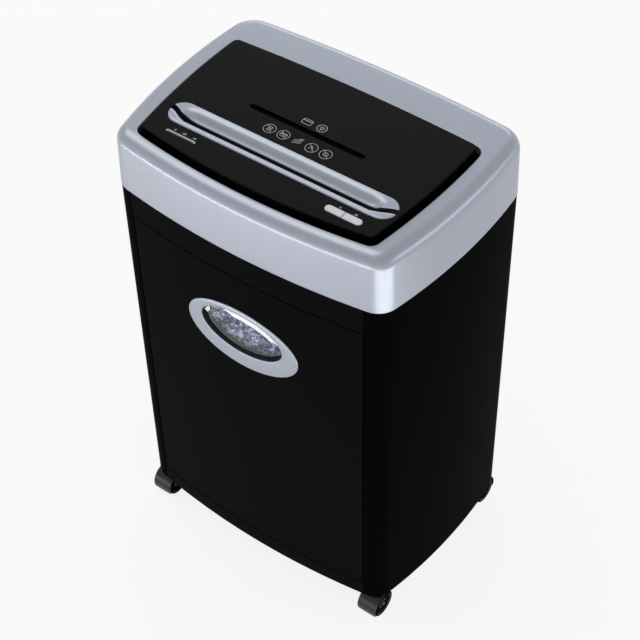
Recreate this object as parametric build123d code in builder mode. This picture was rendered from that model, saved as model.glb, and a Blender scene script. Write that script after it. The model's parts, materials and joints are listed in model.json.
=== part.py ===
"""Deskside paper shredder on casters, with a pull-out waste bin.

Millimetres. +Z is up, +X is to the right of someone who faces the bin, and the bin pulls out
towards -Y. The origin is on the floor, under the middle of the machine.
"""

import os
from math import acos, atan2, cos, degrees, pi, radians, sin, sqrt, tan

from build123d import *

os.makedirs("parts", exist_ok=True)

# ---------------------------------------------------------------- driving dimensions

# plan of the housing: four bowed sides, a little wider at the back
body_depth = 239.0
front_width = 303.0
back_width = 322.6
front_bow = 13.4
side_bow = 10.5
back_bow = 7.7
front_corner = 21.5
back_corner = 29.5

# heights
cabinet_height = 427.0
head_height = 63.0

# head bezel
bezel_wall = 3.4
bezel_round = 13.0
round_steps = 4
bezel_draft = 1.6
bezel_shelf = 8.5
bezel_front_margin = 13.0
bezel_side_margin = 19.8
bezel_back_margin = 45.4
bezel_lip = 8.0
bezel_lip_wall = 2.0
opening_front_bow = 11.7
opening_side_bow = 4.4
opening_back_bow = 4.5
opening_front_corner = 9.0
opening_back_corner = 11.0

# top panel, standing in a moat inside the bezel
moat = 4.5
panel_rise = 6.0
panel_wall = 3.0
panel_edge = 0.9
flange_thick = 2.5

# paper throat
slot_margin = 17.5
slot_width = 5.4
throat_length = 242.0
slot_end_margin = 9.0
throat_front = 10.2
throat_back = 20.1
throat_depth = 14.0
lip_rise = 6.8
rim_rise = 7.2
trough_rise = 3.0
trough_radius = 12.0
trough_shift = 2.0
trough_end_rise = 8.0
split_gap = 1.6
split_reach = 5.6
split_turn = 13.0
split_round = 14.0
lip_edge = 1.2

# disc slot
disc_slot_pitch = 48.9
disc_slot_length = 128.0
disc_slot_width = 6.0
disc_chute_width = 8.0
chute_wall = 1.5
chute_overlap = 1.5
chute_bend_drop = 7.0
chute_clearance = 6.0

# buttons and indicator strip on the front of the panel
control_setback = 25.1
button_x = 92.3
button_row_length = 38.5
button_width = 8.0
button_gap = 0.5
button_rise = 1.0
button_depth = 7.0
button_travel = 1.5
button_flange = 1.5
button_lug = 1.5
button_edge = 0.7
indicator_x = -87.5
indicator_length = 34.0
indicator_width = 3.0
indicator_rise = 0.4
board_width = 16.0
board_end = 1.45
board_shift = 1.5
board_thick = 1.6
board_drop = 10.4
board_post = 5.0
post_spacing = 60.0
switch_gap = 0.1

# cutting unit
cutter_height = 5.0
cutter_spacing = 30.0
disc_overlap = 2.0
disc_side_gap = 0.2
disc_end_gap = 5.9
disc_count = 15
core_gap = 0.6
core_shoulder = 1.5
disc_twist = 20
journal_radius = 5.0
key_radius = 4.6
plate_overhang = 4.0
plate_thick = 2.5
bush_wall = 3.0
bush_flange = 1.5
bush_sides = 6
rod_radius = 4.0
rod_setback = 6.0
rod_rise = 8.0
plate_margin = 9.0
plate_corner = 12.0
stripper_width = 8.0
stripper_thick = 4.0
stripper_drop = 6.0
finger_gap = 0.7
tray_floor = 3.0
tray_gap = 3.5
tray_wall = 2.5
tray_corner = 15.0
outlet_margin = 4.0

# gear train
drive_module_share = 0.05
drive_teeth = 44
drive_pinion_teeth = 12
sync_teeth = 20
motor_module_share = 0.05
motor_gear_teeth = 36
motor_pinion_teeth = 12
gear_thick = 8.0
gear_clearance = 1.0
stage_gap = 2.0
cover_gap = 1.5
compound_rise = 10.0
gear_pin_radius = 4.0
gearbox_width = 44.0
standoff_spacing = 24.0
standoff_rise = 6.0

# motor
motor_width = 60.0
motor_corner = 12.0
motor_length = 77.0
motor_shaft_radius = 4.0
motor_recess = 2.5
motor_spigot = 12.0
spigot_sides = 8
motor_margin = 4.0
fan_gap = 4.0
fan_radius = 26.0
fan_thick = 10.0
fan_blades = 6
fan_hub = 10.0
blade_thick = 2.0

# cabinet
cabinet_wall = 4.0
cabinet_inset = 0.4
front_post = 18.5
fascia_height = 30.3
base_height = 19.5
base_thick = 3.5
socket_wall = 4.5
socket_sides = 8
runner_x = 100.0
runner_width = 8.0
runner_rise = 0.8
runner_margin = 20.0
seam = 1.0

# waste bin
bin_wall = 2.5
bin_side_gap = 7.0
bin_back_gap = 13.5
bin_top_gap = 49.0
bin_rim = 3.5
window_drop = 170.0
lens_half_width = 50.3
lens_half_height = 26.5
ring_width = 15.2
ring_height = 12.2
window_slope = 10.2
window_proud = 1.7
window_dish = 5.0
lens_thick = 2.0
neck_step = 4.0
neck_depth = 9.0
neck_sides = 16
bezel_sides = 32
oval_reach = 10.0
guide_thick = 5.0
guide_gap = 1.2
guide_margin = 25.0
shred_drop = 40.0
shred_slope = 90.0
shred_crest = 20.0
shred_gap = 1.0

# casters
front_caster_side = 11.5
front_caster_setback = 20.1
back_caster_side = 15.3
back_caster_setback = 28.3
caster_trail = 10.0
base_clearance = 1.3
wheel_radius = 15.5
wheel_width = 8.8
wheel_flats = 20
wheel_gap = 0.4
hood_wall = 1.3
hood_width = 23.0
hood_web = 4.0
hood_back = 12.0
hood_low = 12.0
hood_foot = 5.0
swivel_gap = 1.1
boss_thick = 1.6
boss_wall = 3.0
boss_sides = 6
stem_radius = 4.0
stem_length = 13.0
axle_radius = 2.0
axle_short = 0.5

# cord gland at the back of the head
gland_x = 100.0
gland_rise = 14.0
gland_radius = 6.0
gland_bore = 3.5
gland_flange_radius = 8.5
gland_sides = 6
gland_flange = 2.5
gland_length = 14.0

# fits
fit_gap = 0.2
soft_gap = 0.3
running = 0.04
tooth_backlash = 0.06

# ---------------------------------------------------------------- places worked out from them

y_front = -body_depth / 2 + front_bow
y_back = body_depth / 2 - back_bow
z_base = 2 * wheel_radius + wheel_gap + hood_wall + base_clearance
z_head = z_base + cabinet_height
z_top = z_head + head_height
z_panel = z_top + panel_rise
z_flange = z_top - bezel_lip
z_under_panel = z_panel - panel_wall

slot_y = y_front + slot_margin + cutter_spacing
slot_front = slot_y - slot_width / 2
slot_back = slot_y + slot_width / 2
slot_half_length = throat_length / 2 - slot_end_margin
split_y_end = slot_back + split_reach / 2
disc_slot_y = slot_y + disc_slot_pitch
control_y = y_front + control_setback
z_throat = z_under_panel - throat_depth
z_board = z_under_panel - board_drop

z_cutter = z_head + cutter_height
front_cutter_y = slot_y - cutter_spacing / 2
rear_cutter_y = slot_y + cutter_spacing / 2
disc_cutter_y = rear_cutter_y + cutter_spacing
disc_radius = cutter_spacing / 2 + disc_overlap
core_radius = cutter_spacing - disc_radius - core_gap
plate_half_span = slot_half_length + plate_overhang
disc_row = 2 * (plate_half_span - disc_end_gap)
disc_pitch = (disc_row + disc_side_gap) / (disc_count - 0.5)
disc_thick = disc_pitch / 2 - disc_side_gap
journal_end = plate_half_span + plate_thick + bush_flange

drive_module = drive_module_share * cutter_spacing
motor_module = motor_module_share * cutter_spacing
drive_distance = drive_module * (drive_teeth + drive_pinion_teeth) / 2
motor_distance = motor_module * (motor_gear_teeth + motor_pinion_teeth) / 2
compound_angle = radians(compound_rise)
compound_y = rear_cutter_y + drive_distance * cos(compound_angle)
z_compound = z_cutter + drive_distance * sin(compound_angle)
motor_y = compound_y + motor_distance
drive_gear_radius = drive_module * (drive_teeth / 2 + 1)
tray_drop = drive_gear_radius - cutter_height + tray_gap + tray_floor
z_tray = z_head - tray_drop
z_tray_top = z_tray + tray_floor
gear_start = journal_end + gear_clearance
second_stage = gear_start + gear_thick + stage_gap
gear_end = second_stage + gear_thick
gearbox_x = gear_end + cover_gap
plate_front = front_cutter_y - disc_radius - plate_margin
left_plate_back = disc_cutter_y + disc_radius + plate_margin
right_plate_back = motor_y + motor_width / 2 + motor_margin
plate_top = z_cutter + 2 * disc_radius

opening_half = front_width / 2 - front_post
bin_half = opening_half - bin_side_gap
front_caster_x = front_width / 2 - front_caster_side
front_caster_y = y_front + front_caster_setback
back_caster_x = back_width / 2 - back_caster_side
back_caster_y = y_back - back_caster_setback
z_fascia = z_head - fascia_height
z_rail = z_base + base_height
z_runner = z_rail + runner_rise
z_bin_top = z_head - bin_top_gap
z_window = z_top - window_drop
window_y = -body_depth / 2
bezel_half_width = lens_half_width + ring_width
bezel_half_height = lens_half_height + ring_height
neck_half_width = bezel_half_width - neck_step
neck_half_height = bezel_half_height - neck_step


# ---------------------------------------------------------------- shared outlines


def bowed_plan(front_half, back_half, front, back, bows, corners, inset=0.0):
    """A plan face with four bowed sides and round corners, drawn in by inset."""
    front_sag, side_sag, back_sag = bows
    front_radius = (front_half**2 + front_sag**2) / (2 * front_sag)
    back_radius = (back_half**2 + back_sag**2) / (2 * back_sag)
    lean = atan2(back_half - front_half, back - front)
    half_chord = (back - front) / (2 * cos(lean))
    side_radius = (half_chord**2 + side_sag**2) / (2 * side_sag)
    side_reach = side_radius - side_sag
    side_x = (front_half + back_half) / 2 - side_reach * cos(lean)
    side_y = (front + back) / 2 + side_reach * sin(lean)
    with BuildSketch() as plan:
        with Locations((0, front - front_sag + front_radius)):
            Circle(front_radius - inset)
        with Locations((0, back + back_sag - back_radius)):
            Circle(back_radius - inset, mode=Mode.INTERSECT)
        with Locations((-side_x, side_y)):
            Circle(side_radius - inset, mode=Mode.INTERSECT)
        with Locations(Location((side_x, side_y, 0), (0, 0, 180))):
            Circle(side_radius - inset, mode=Mode.INTERSECT)
        fillet(plan.vertices().group_by(Axis.Y)[0], corners[0] - inset)
        fillet(plan.vertices().group_by(Axis.Y)[-1], corners[1] - inset)
    return plan.sketch


def body_plan(inset=0.0):
    """The housing's outline."""
    return bowed_plan(
        front_width / 2,
        back_width / 2,
        y_front,
        y_back,
        (front_bow, side_bow, back_bow),
        (front_corner, back_corner),
        inset,
    )


def opening_plan(inset=0.0):
    """The outline of the opening in the top of the head bezel."""
    return bowed_plan(
        front_width / 2 - bezel_side_margin,
        back_width / 2 - bezel_side_margin,
        y_front + bezel_front_margin,
        y_back - bezel_back_margin,
        (opening_front_bow, opening_side_bow, opening_back_bow),
        (opening_front_corner, opening_back_corner),
        inset,
    )


def throat_plan(outset=0.0):
    """The stadium outline of the throat insert."""
    width = throat_front + throat_back
    with BuildSketch() as plan:
        with Locations((0, slot_y - throat_front + width / 2)):
            SlotOverall(throat_length + 2 * outset, width + 2 * outset)
    return plan.sketch


def split_region(edge_y, reach, side):
    """One side of the line that parts the two throat pieces, which curves back at both ends."""
    turn = throat_length / 2 - split_turn
    far_x = throat_length
    far_y = edge_y + side * throat_length
    sweep = acos(1 - reach / (2 * split_round))
    with BuildSketch() as region:
        with BuildLine():
            Line((-turn, edge_y), (turn, edge_y))
            for end in (-1, 1):
                bend = (end * (turn + split_round * sin(sweep)), edge_y + reach / 2)
                stop = (end * (turn + 2 * split_round * sin(sweep)), edge_y + reach)
                TangentArc((end * turn, edge_y), bend, tangent=(end, 0))
                TangentArc(stop, bend, tangent=(-end, 0))
                Line(stop, (end * far_x, edge_y + reach))
                Line((end * far_x, edge_y + reach), (end * far_x, far_y))
            Line((-far_x, far_y), (far_x, far_y))
        make_face()
    return region.sketch


def gear_plan(module, teeth, tooth_at):
    """A spur gear's outline, with one tooth centred on the angle tooth_at."""
    pitch_radius = module * teeth / 2
    base_radius = pitch_radius * cos(radians(20))
    root = pitch_radius - 1.15 * module
    tip = pitch_radius + 0.95 * module
    half_pitch_tooth = pi / (2 * teeth) - tooth_backlash / pitch_radius

    def involute(radius):
        turn = sqrt(max((radius / base_radius) ** 2 - 1, 0))
        return turn - atan2(turn, 1)

    def half_angle(radius):
        return half_pitch_tooth + involute(pitch_radius) - involute(radius)

    flank = [(root, half_angle(max(root, base_radius))), (tip, half_angle(tip))]
    points = []
    for tooth in range(teeth):
        middle = tooth_at + 2 * pi * tooth / teeth
        points += [(radius, middle - half) for radius, half in flank]
        points += [(radius, middle + half) for radius, half in reversed(flank)]
    with BuildSketch() as outline:
        with BuildLine():
            Polyline(*[(r * cos(a), r * sin(a)) for r, a in points], close=True)
        make_face()
    return outline.sketch


def across(x, y=0.0, z=0.0):
    """A plane that faces +X, with its own X along +Y and its own Y along +Z."""
    return Plane(origin=(x, y, z), x_dir=(0, 1, 0), z_dir=(1, 0, 0))


def write(piece, name):
    """Label a finished piece and write it as its own STEP file."""
    piece.part.label = name
    export_step(piece.part, f"parts/{name}.step")


# ---------------------------------------------------------------- head bezel


shoulder = head_height - bezel_round
drawn_in = shoulder * tan(radians(bezel_draft))
with BuildPart() as head_bezel:
    with BuildSketch(Plane.XY.offset(z_head)):
        add(body_plan())
    extrude(amount=shoulder, taper=bezel_draft)
    for step in range(round_steps):
        low = pi / 2 * step / round_steps
        high = pi / 2 * (step + 1) / round_steps
        rise = bezel_round * (sin(high) - sin(low))
        lean = atan2(bezel_round * (cos(low) - cos(high)), rise)
        with BuildSketch(Plane.XY.offset(z_head + shoulder + bezel_round * sin(low))):
            add(body_plan(drawn_in + bezel_round * (1 - cos(low))))
        extrude(amount=rise, taper=degrees(lean))
    with BuildSketch(Plane.XY.offset(z_head)):
        add(body_plan(bezel_wall))
    extrude(amount=shoulder, mode=Mode.SUBTRACT)
    with BuildSketch(Plane.XY.offset(z_head + shoulder)):
        add(body_plan(drawn_in + bezel_shelf))
    extrude(amount=bezel_round - bezel_wall, mode=Mode.SUBTRACT)
    with BuildSketch(Plane.XY.offset(z_flange)):
        add(opening_plan(-bezel_lip_wall))
    extrude(amount=bezel_lip - bezel_wall)
    with BuildSketch(Plane.XY.offset(z_flange)):
        add(opening_plan())
    extrude(amount=bezel_lip, mode=Mode.SUBTRACT)
    with BuildSketch(Plane.XZ.offset(-body_depth / 2)):
        with Locations((gland_x, z_head + gland_rise)):
            RegularPolygon(gland_radius + fit_gap, gland_sides)
    extrude(amount=gland_length, mode=Mode.SUBTRACT)
write(head_bezel, "head_bezel")

# ---------------------------------------------------------------- top panel

button_length = (button_row_length - button_gap) / 2


def control_openings(slack):
    """The button row and the indicator strip, drawn larger than the pieces by slack."""
    with BuildSketch() as plan:
        with Locations((button_x, control_y)):
            SlotOverall(button_row_length + 2 * slack, button_width + 2 * slack)
        with Locations((indicator_x, control_y)):
            SlotOverall(indicator_length + 2 * slack, indicator_width + 2 * slack)
    return plan.sketch


with BuildPart() as top_panel:
    with BuildSketch(Plane.XY.offset(z_flange - flange_thick)):
        add(opening_plan(moat))
    extrude(amount=z_panel - z_flange + flange_thick)
    chamfer(top_panel.faces().sort_by(Axis.Z)[-1].edges(), panel_edge)
    with BuildSketch(Plane.XY.offset(z_flange - flange_thick)):
        add(opening_plan(-bezel_lip_wall))
    extrude(amount=flange_thick)
    with BuildSketch(Plane.XY.offset(z_flange - flange_thick)):
        add(opening_plan(moat + panel_wall))
    extrude(amount=z_under_panel - z_flange + flange_thick, mode=Mode.SUBTRACT)
    with BuildSketch(Plane.XY.offset(z_under_panel)):
        add(throat_plan(fit_gap))
        add(control_openings(soft_gap))
        with Locations((0, disc_slot_y)):
            SlotOverall(disc_slot_length, disc_slot_width)
    extrude(amount=panel_wall, mode=Mode.SUBTRACT)
    with BuildSketch(Plane.XY.offset(z_board + board_thick)):
        with Locations(*[(post_spacing * step, control_y) for step in (-1, 0, 1)]):
            Rectangle(board_post, board_post)
    extrude(amount=z_under_panel - z_board - board_thick)
write(top_panel, "top_panel")

# ---------------------------------------------------------------- paper throat

front_reach = split_y_end - split_gap / 2 - slot_front
rear_reach = split_y_end + split_gap / 2 - slot_back


def throat_block(edge_y, reach, side, top):
    """One throat piece: its side of the stadium, with a flange under the panel."""
    with BuildPart() as block:
        with BuildSketch(Plane.XY.offset(z_throat)):
            add(throat_plan())
            add(split_region(edge_y, reach, side), mode=Mode.INTERSECT)
        extrude(amount=top - z_throat)
        with BuildSketch(Plane.XY.offset(z_under_panel - flange_thick)):
            add(throat_plan(bezel_lip_wall))
            add(split_region(edge_y, reach, side), mode=Mode.INTERSECT)
        extrude(amount=flange_thick)
    return block.part


with BuildPart() as front_throat_guide:
    add(throat_block(slot_front, front_reach, -1, z_top + lip_rise))
    chamfer(front_throat_guide.faces().sort_by(Axis.Z)[-1].edges(), lip_edge)
write(front_throat_guide, "front_throat_guide")

with BuildPart() as rear_throat_guide:
    add(throat_block(slot_back, rear_reach, 1, z_top + rim_rise))
    trough_y = slot_back + trough_shift
    trough_z = z_top + trough_rise + trough_radius
    trough_half = slot_half_length - trough_end_rise
    with BuildSketch(across(-trough_half, trough_y, trough_z)):
        Circle(trough_radius)
    extrude(amount=2 * trough_half, mode=Mode.SUBTRACT)
    for end in (-1, 1):
        cone_x = end * (trough_half + trough_end_rise / 2)
        with Locations(Location((cone_x, trough_y, trough_z), (0, end * 90, 0))):
            Cone(trough_radius, trough_radius - rim_rise + trough_rise, trough_end_rise, mode=Mode.SUBTRACT)
write(rear_throat_guide, "rear_throat_guide")

chute_bottom = z_cutter + disc_radius - chute_overlap
for chute_name, chute_y in (
    ("front_paper_chute", slot_front - chute_wall / 2),
    ("rear_paper_chute", slot_back + chute_wall / 2),
):
    with BuildPart() as paper_chute:
        with BuildSketch(Plane.XY.offset(chute_bottom)):
            with Locations((0, chute_y)):
                Rectangle(2 * plate_half_span, chute_wall)
        extrude(amount=z_throat - chute_bottom)
    write(paper_chute, chute_name)

# ---------------------------------------------------------------- disc chute

disc_nip_y = (rear_cutter_y + disc_cutter_y) / 2
disc_chute_bottom = z_cutter + disc_radius + chute_clearance
disc_chute_bend = z_under_panel - chute_bend_drop


def disc_chute_plan(wall):
    """The chute's side view: straight under the panel, then slanting to its cutters."""
    half = disc_chute_width / 2 + wall
    path = [
        (disc_slot_y, z_under_panel),
        (disc_slot_y, disc_chute_bend),
        (disc_nip_y, disc_chute_bottom),
    ]
    with BuildSketch() as plan:
        with BuildLine():
            Polyline(
                *[(y - half, z) for y, z in path],
                *[(y + half, z) for y, z in reversed(path)],
                close=True,
            )
        make_face()
    return plan.sketch


with BuildPart() as disc_chute:
    chute_half_length = disc_slot_length / 2
    with BuildSketch(across(-chute_half_length - chute_wall)):
        add(disc_chute_plan(chute_wall))
    extrude(amount=2 * (chute_half_length + chute_wall))
    with BuildSketch(across(-chute_half_length)):
        add(disc_chute_plan(0))
    extrude(amount=2 * chute_half_length, mode=Mode.SUBTRACT)
write(disc_chute, "disc_chute")

# ---------------------------------------------------------------- buttons, indicator and board

button_bottom = z_under_panel - button_depth
for button_name, side in (("reverse_button", -1), ("power_button", 1)):
    with BuildPart() as button:
        with BuildSketch(Plane.XY.offset(button_bottom)):
            with Locations((button_x, control_y)):
                SlotOverall(button_row_length, button_width)
            with Locations((button_x + side * (button_gap + button_length) / 2, control_y)):
                Rectangle(button_length, button_width, mode=Mode.INTERSECT)
        extrude(amount=z_panel + button_rise - button_bottom)
        chamfer(button.faces().sort_by(Axis.Z)[-1].edges(), button_edge)
        with BuildSketch(Plane.XY.offset(z_under_panel - fit_gap - button_flange)):
            with Locations((button_x + side * (button_gap + button_length) / 2, control_y)):
                Rectangle(button_length, button_width + 2 * button_lug)
        extrude(amount=button_flange)
    write(button, button_name)

with BuildPart() as indicator_lens:
    with BuildSketch(Plane.XY.offset(z_board + board_thick)):
        with Locations((indicator_x, control_y)):
            SlotOverall(indicator_length, indicator_width)
    extrude(amount=z_panel + indicator_rise - z_board - board_thick)
write(indicator_lens, "indicator_lens")

with BuildPart() as control_board:
    with BuildSketch(Plane.XY.offset(z_board)):
        with Locations((0, control_y + board_shift)):
            Rectangle(2 * (button_x + button_row_length / 2 + board_end), board_width)
    extrude(amount=board_thick)
    with BuildSketch(Plane.XY.offset(z_board + board_thick)):
        with Locations(*[(button_x + side * button_row_length / 4, control_y) for side in (-1, 1)]):
            Rectangle(board_post, board_post)
    extrude(amount=button_bottom - button_travel - switch_gap - z_board - board_thick)
write(control_board, "control_board")

# ---------------------------------------------------------------- head base tray

# The tray's walls stand just outside the side plates, the motor plate and the gear cover.
tray_front = plate_front - soft_gap - tray_wall
tray_back = right_plate_back + soft_gap + tray_wall
tray_half = gearbox_x + plate_thick + soft_gap + tray_wall
tray_corner_inside = tray_corner - tray_wall
outlet_front = front_cutter_y - disc_radius - outlet_margin
outlet_back = disc_cutter_y + disc_radius
with BuildPart() as head_base:
    with BuildSketch(Plane.XY.offset(z_head)):
        add(body_plan(bezel_wall + fit_gap))
    extrude(amount=flange_thick)
    with BuildSketch(Plane.XY.offset(z_tray)):
        with Locations((0, (tray_front + tray_back) / 2)):
            RectangleRounded(2 * tray_half, tray_back - tray_front, tray_corner)
    extrude(amount=tray_drop)
    with BuildSketch(Plane.XY.offset(z_tray_top)):
        with Locations((0, (tray_front + tray_back) / 2)):
            RectangleRounded(
                2 * (tray_half - tray_wall), tray_back - tray_front - 2 * tray_wall, tray_corner_inside
            )
    extrude(amount=tray_drop, mode=Mode.SUBTRACT)
    with BuildSketch(Plane.XY.offset(z_tray)):
        with Locations((0, (outlet_front + outlet_back) / 2)):
            Rectangle(2 * (plate_half_span - outlet_margin), outlet_back - outlet_front)
    extrude(amount=tray_floor, mode=Mode.SUBTRACT)
write(head_base, "head_base")

with BuildPart() as cord_gland:
    gland_z = z_head + gland_rise
    gland_edge_x = gland_x - gland_flange_radius
    gland_wall_y = y_back + back_bow * (1 - (gland_edge_x / (back_width / 2)) ** 2)
    with BuildSketch(Plane.XZ.offset(-gland_wall_y - gland_flange)):
        with Locations((gland_x, gland_z)):
            RegularPolygon(gland_flange_radius, gland_sides)
    extrude(amount=gland_flange)
    with BuildSketch(Plane.XZ.offset(-gland_wall_y - gland_flange)):
        with Locations((gland_x, gland_z)):
            RegularPolygon(gland_radius, gland_sides)
    extrude(amount=gland_length)
    with BuildSketch(Plane.XZ.offset(-gland_wall_y - gland_flange)):
        with Locations((gland_x, gland_z)):
            Circle(gland_bore)
    extrude(amount=gland_length, mode=Mode.SUBTRACT)
write(cord_gland, "cord_gland")

# ---------------------------------------------------------------- cutting unit

bush_radius = journal_radius + bush_wall
shaft_places = [(y, z_cutter) for y in (front_cutter_y, rear_cutter_y, disc_cutter_y)]
rod_places = [
    (plate_front + rod_setback, z_tray_top + rod_rise),
    (plate_front + rod_setback, z_cutter + disc_radius + rod_rise),
    (left_plate_back - rod_setback, z_tray_top + rod_rise),
]

for plate_name, plate_x, plate_back, driven in (
    ("left_side_plate", -plate_half_span - plate_thick, left_plate_back, False),
    ("right_side_plate", plate_half_span, right_plate_back, True),
):
    with BuildPart() as side_plate:
        with BuildSketch(across(plate_x)) as plate_plan:
            with Locations(((plate_front + plate_back) / 2, (z_tray_top + plate_top) / 2)):
                Rectangle(plate_back - plate_front, plate_top - z_tray_top)
            chamfer(plate_plan.vertices().group_by(Axis.Y)[-1], plate_corner)
            with Locations(*shaft_places):
                RegularPolygon(bush_radius, bush_sides, mode=Mode.SUBTRACT)
            if driven:
                with Locations((compound_y, z_compound)):
                    Circle(gear_pin_radius, mode=Mode.SUBTRACT)
                with Locations((motor_y, z_compound)):
                    RegularPolygon(motor_spigot - motor_shaft_radius, spigot_sides, mode=Mode.SUBTRACT)
        extrude(amount=plate_thick)
    write(side_plate, plate_name)

with BuildPart() as spacer_rods:
    with BuildSketch(across(-plate_half_span)):
        with Locations(*rod_places):
            RegularPolygon(rod_radius, 6)
    extrude(amount=2 * plate_half_span)
write(spacer_rods, "spacer_rods")

with BuildPart() as shaft_bushes:
    for bush_x, flange_x in (
        (-plate_half_span - plate_thick, -plate_half_span - plate_thick - bush_flange),
        (plate_half_span, plate_half_span + plate_thick),
    ):
        with BuildSketch(across(bush_x)):
            with Locations(*shaft_places):
                RegularPolygon(bush_radius, bush_sides)
        extrude(amount=plate_thick)
        with BuildSketch(across(flange_x)):
            with Locations(*shaft_places):
                RegularPolygon(bush_radius + bush_flange, bush_sides)
        extrude(amount=bush_flange)
    with BuildSketch(across(-gear_start)):
        with Locations(*shaft_places):
            Circle(journal_radius + running)
    extrude(amount=2 * gear_start, mode=Mode.SUBTRACT)
write(shaft_bushes, "shaft_bushes")


def cutting_disc(turn):
    """A cutting disc's outline: three hooked teeth, turned on its shaft by an angle."""
    profile = ((1.0, 0), (0.84, 6), (0.96, 38), (1.0, 79))
    points = [
        (disc_radius * share, radians(120 * tooth + angle + turn))
        for tooth in range(3)
        for share, angle in profile
    ]
    with BuildSketch() as outline:
        with BuildLine():
            Polyline(*[(r * cos(a), r * sin(a)) for r, a in points], close=True)
        make_face()
    return outline.sketch


def cutting_shaft(shaft_y, disc_places, twist, left_end, right_end):
    """A one-piece cutting cylinder: core, journals, keyed ends and its row of hooked discs."""
    core_end = plate_half_span - core_shoulder
    with BuildPart() as shaft:
        with BuildSketch(across(-core_end, shaft_y, z_cutter)):
            RegularPolygon(core_radius, 6)
        extrude(amount=2 * core_end)
        with BuildSketch(across(-journal_end, shaft_y, z_cutter)):
            Circle(journal_radius)
        extrude(amount=2 * journal_end)
        with BuildSketch(across(left_end, shaft_y, z_cutter)):
            RegularPolygon(key_radius, 6)
        extrude(amount=right_end - left_end)
        for place, disc_x in enumerate(disc_places):
            with BuildSketch(across(disc_x - disc_thick / 2, shaft_y, z_cutter)):
                add(cutting_disc(twist * place))
            extrude(amount=disc_thick)
    return shaft.part


front_discs = [disc_pitch * (place - (disc_count - 1) / 2) for place in range(disc_count)]
rear_discs = [disc_x + disc_pitch / 2 for disc_x in front_discs[:-1]]
media_discs = [front_discs[disc_count // 2 + step] for step in (-4, 0, 4)]
sync_end = -gear_start - gear_thick
drive_end = gear_start + gear_thick

for shaft_name, shaft_y, discs, twist, right_end in (
    ("front_cutter", front_cutter_y, front_discs, disc_twist, journal_end),
    ("rear_cutter", rear_cutter_y, rear_discs, -disc_twist, drive_end),
    ("disc_cutter", disc_cutter_y, media_discs, 2 * disc_twist, journal_end),
):
    with BuildPart() as cutter:
        add(cutting_shaft(shaft_y, discs, twist, sync_end, right_end))
    write(cutter, shaft_name)

for comb_name, comb_y, discs in (
    ("front_stripper", front_cutter_y, front_discs),
    ("rear_stripper", rear_cutter_y, rear_discs),
):
    finger_places = [disc_x + disc_pitch / 2 for disc_x in discs[:-1]]
    finger_base = z_cutter - disc_radius - stripper_drop
    finger_top = z_cutter - core_radius - core_gap
    with BuildPart() as stripper:
        with BuildSketch(Plane.XY.offset(finger_base - stripper_thick)):
            with Locations((0, comb_y)):
                Rectangle(2 * plate_half_span, stripper_width)
        extrude(amount=stripper_thick)
        with BuildSketch(Plane.XY.offset(finger_base)):
            with Locations(*[(finger_x, comb_y) for finger_x in finger_places]):
                Rectangle(disc_pitch - disc_thick - 2 * finger_gap, stripper_width)
        extrude(amount=finger_top - finger_base)
    write(stripper, comb_name)

# ---------------------------------------------------------------- gears

for gear_name, gear_y, tooth_at in (
    ("front_sync_gear", front_cutter_y, 0),
    ("rear_sync_gear", rear_cutter_y, pi / sync_teeth),
    ("disc_sync_gear", disc_cutter_y, pi),
):
    with BuildPart() as sync_gear:
        with BuildSketch(across(sync_end, gear_y, z_cutter)):
            add(gear_plan(cutter_spacing / sync_teeth, sync_teeth, tooth_at))
            RegularPolygon(key_radius, 6, mode=Mode.SUBTRACT)
        extrude(amount=gear_thick)
    write(sync_gear, gear_name)

with BuildPart() as drive_gear:
    with BuildSketch(across(gear_start, rear_cutter_y, z_cutter)):
        add(gear_plan(drive_module, drive_teeth, compound_angle))
        RegularPolygon(key_radius, 6, mode=Mode.SUBTRACT)
    extrude(amount=gear_thick)
write(drive_gear, "drive_gear")

with BuildPart() as compound_gear:
    with BuildSketch(across(gear_start, compound_y, z_compound)):
        tooth_at = compound_angle + pi + pi / drive_pinion_teeth
        add(gear_plan(drive_module, drive_pinion_teeth, tooth_at))
    extrude(amount=second_stage - gear_start)
    with BuildSketch(across(second_stage, compound_y, z_compound)):
        add(gear_plan(motor_module, motor_gear_teeth, 0))
    extrude(amount=gear_thick)
    with BuildSketch(across(gear_start, compound_y, z_compound)):
        Circle(gear_pin_radius + running)
    extrude(amount=gear_end - gear_start, mode=Mode.SUBTRACT)
write(compound_gear, "compound_gear")

with BuildPart() as gear_pin:
    with BuildSketch(across(plate_half_span, compound_y, z_compound)):
        Circle(gear_pin_radius)
    extrude(amount=gearbox_x + plate_thick - plate_half_span)
write(gear_pin, "gear_pin")

with BuildPart() as gearbox_plate:
    with BuildSketch(across(gearbox_x)) as cover_plan:
        with Locations((compound_y, (z_tray_top + plate_top) / 2)):
            Rectangle(gearbox_width, plate_top - z_tray_top)
        chamfer(cover_plan.vertices().group_by(Axis.Y)[-1], plate_corner)
        with Locations((compound_y, z_compound)):
            Circle(gear_pin_radius, mode=Mode.SUBTRACT)
    extrude(amount=plate_thick)
    with BuildSketch(across(plate_half_span + plate_thick)):
        with Locations((compound_y, z_tray_top + standoff_rise)):
            with GridLocations(standoff_spacing, 1, 2, 1):
                RegularPolygon(rod_radius, 6)
    extrude(amount=gearbox_x - plate_half_span - plate_thick)
write(gearbox_plate, "gearbox_plate")

# ---------------------------------------------------------------- motor

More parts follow.
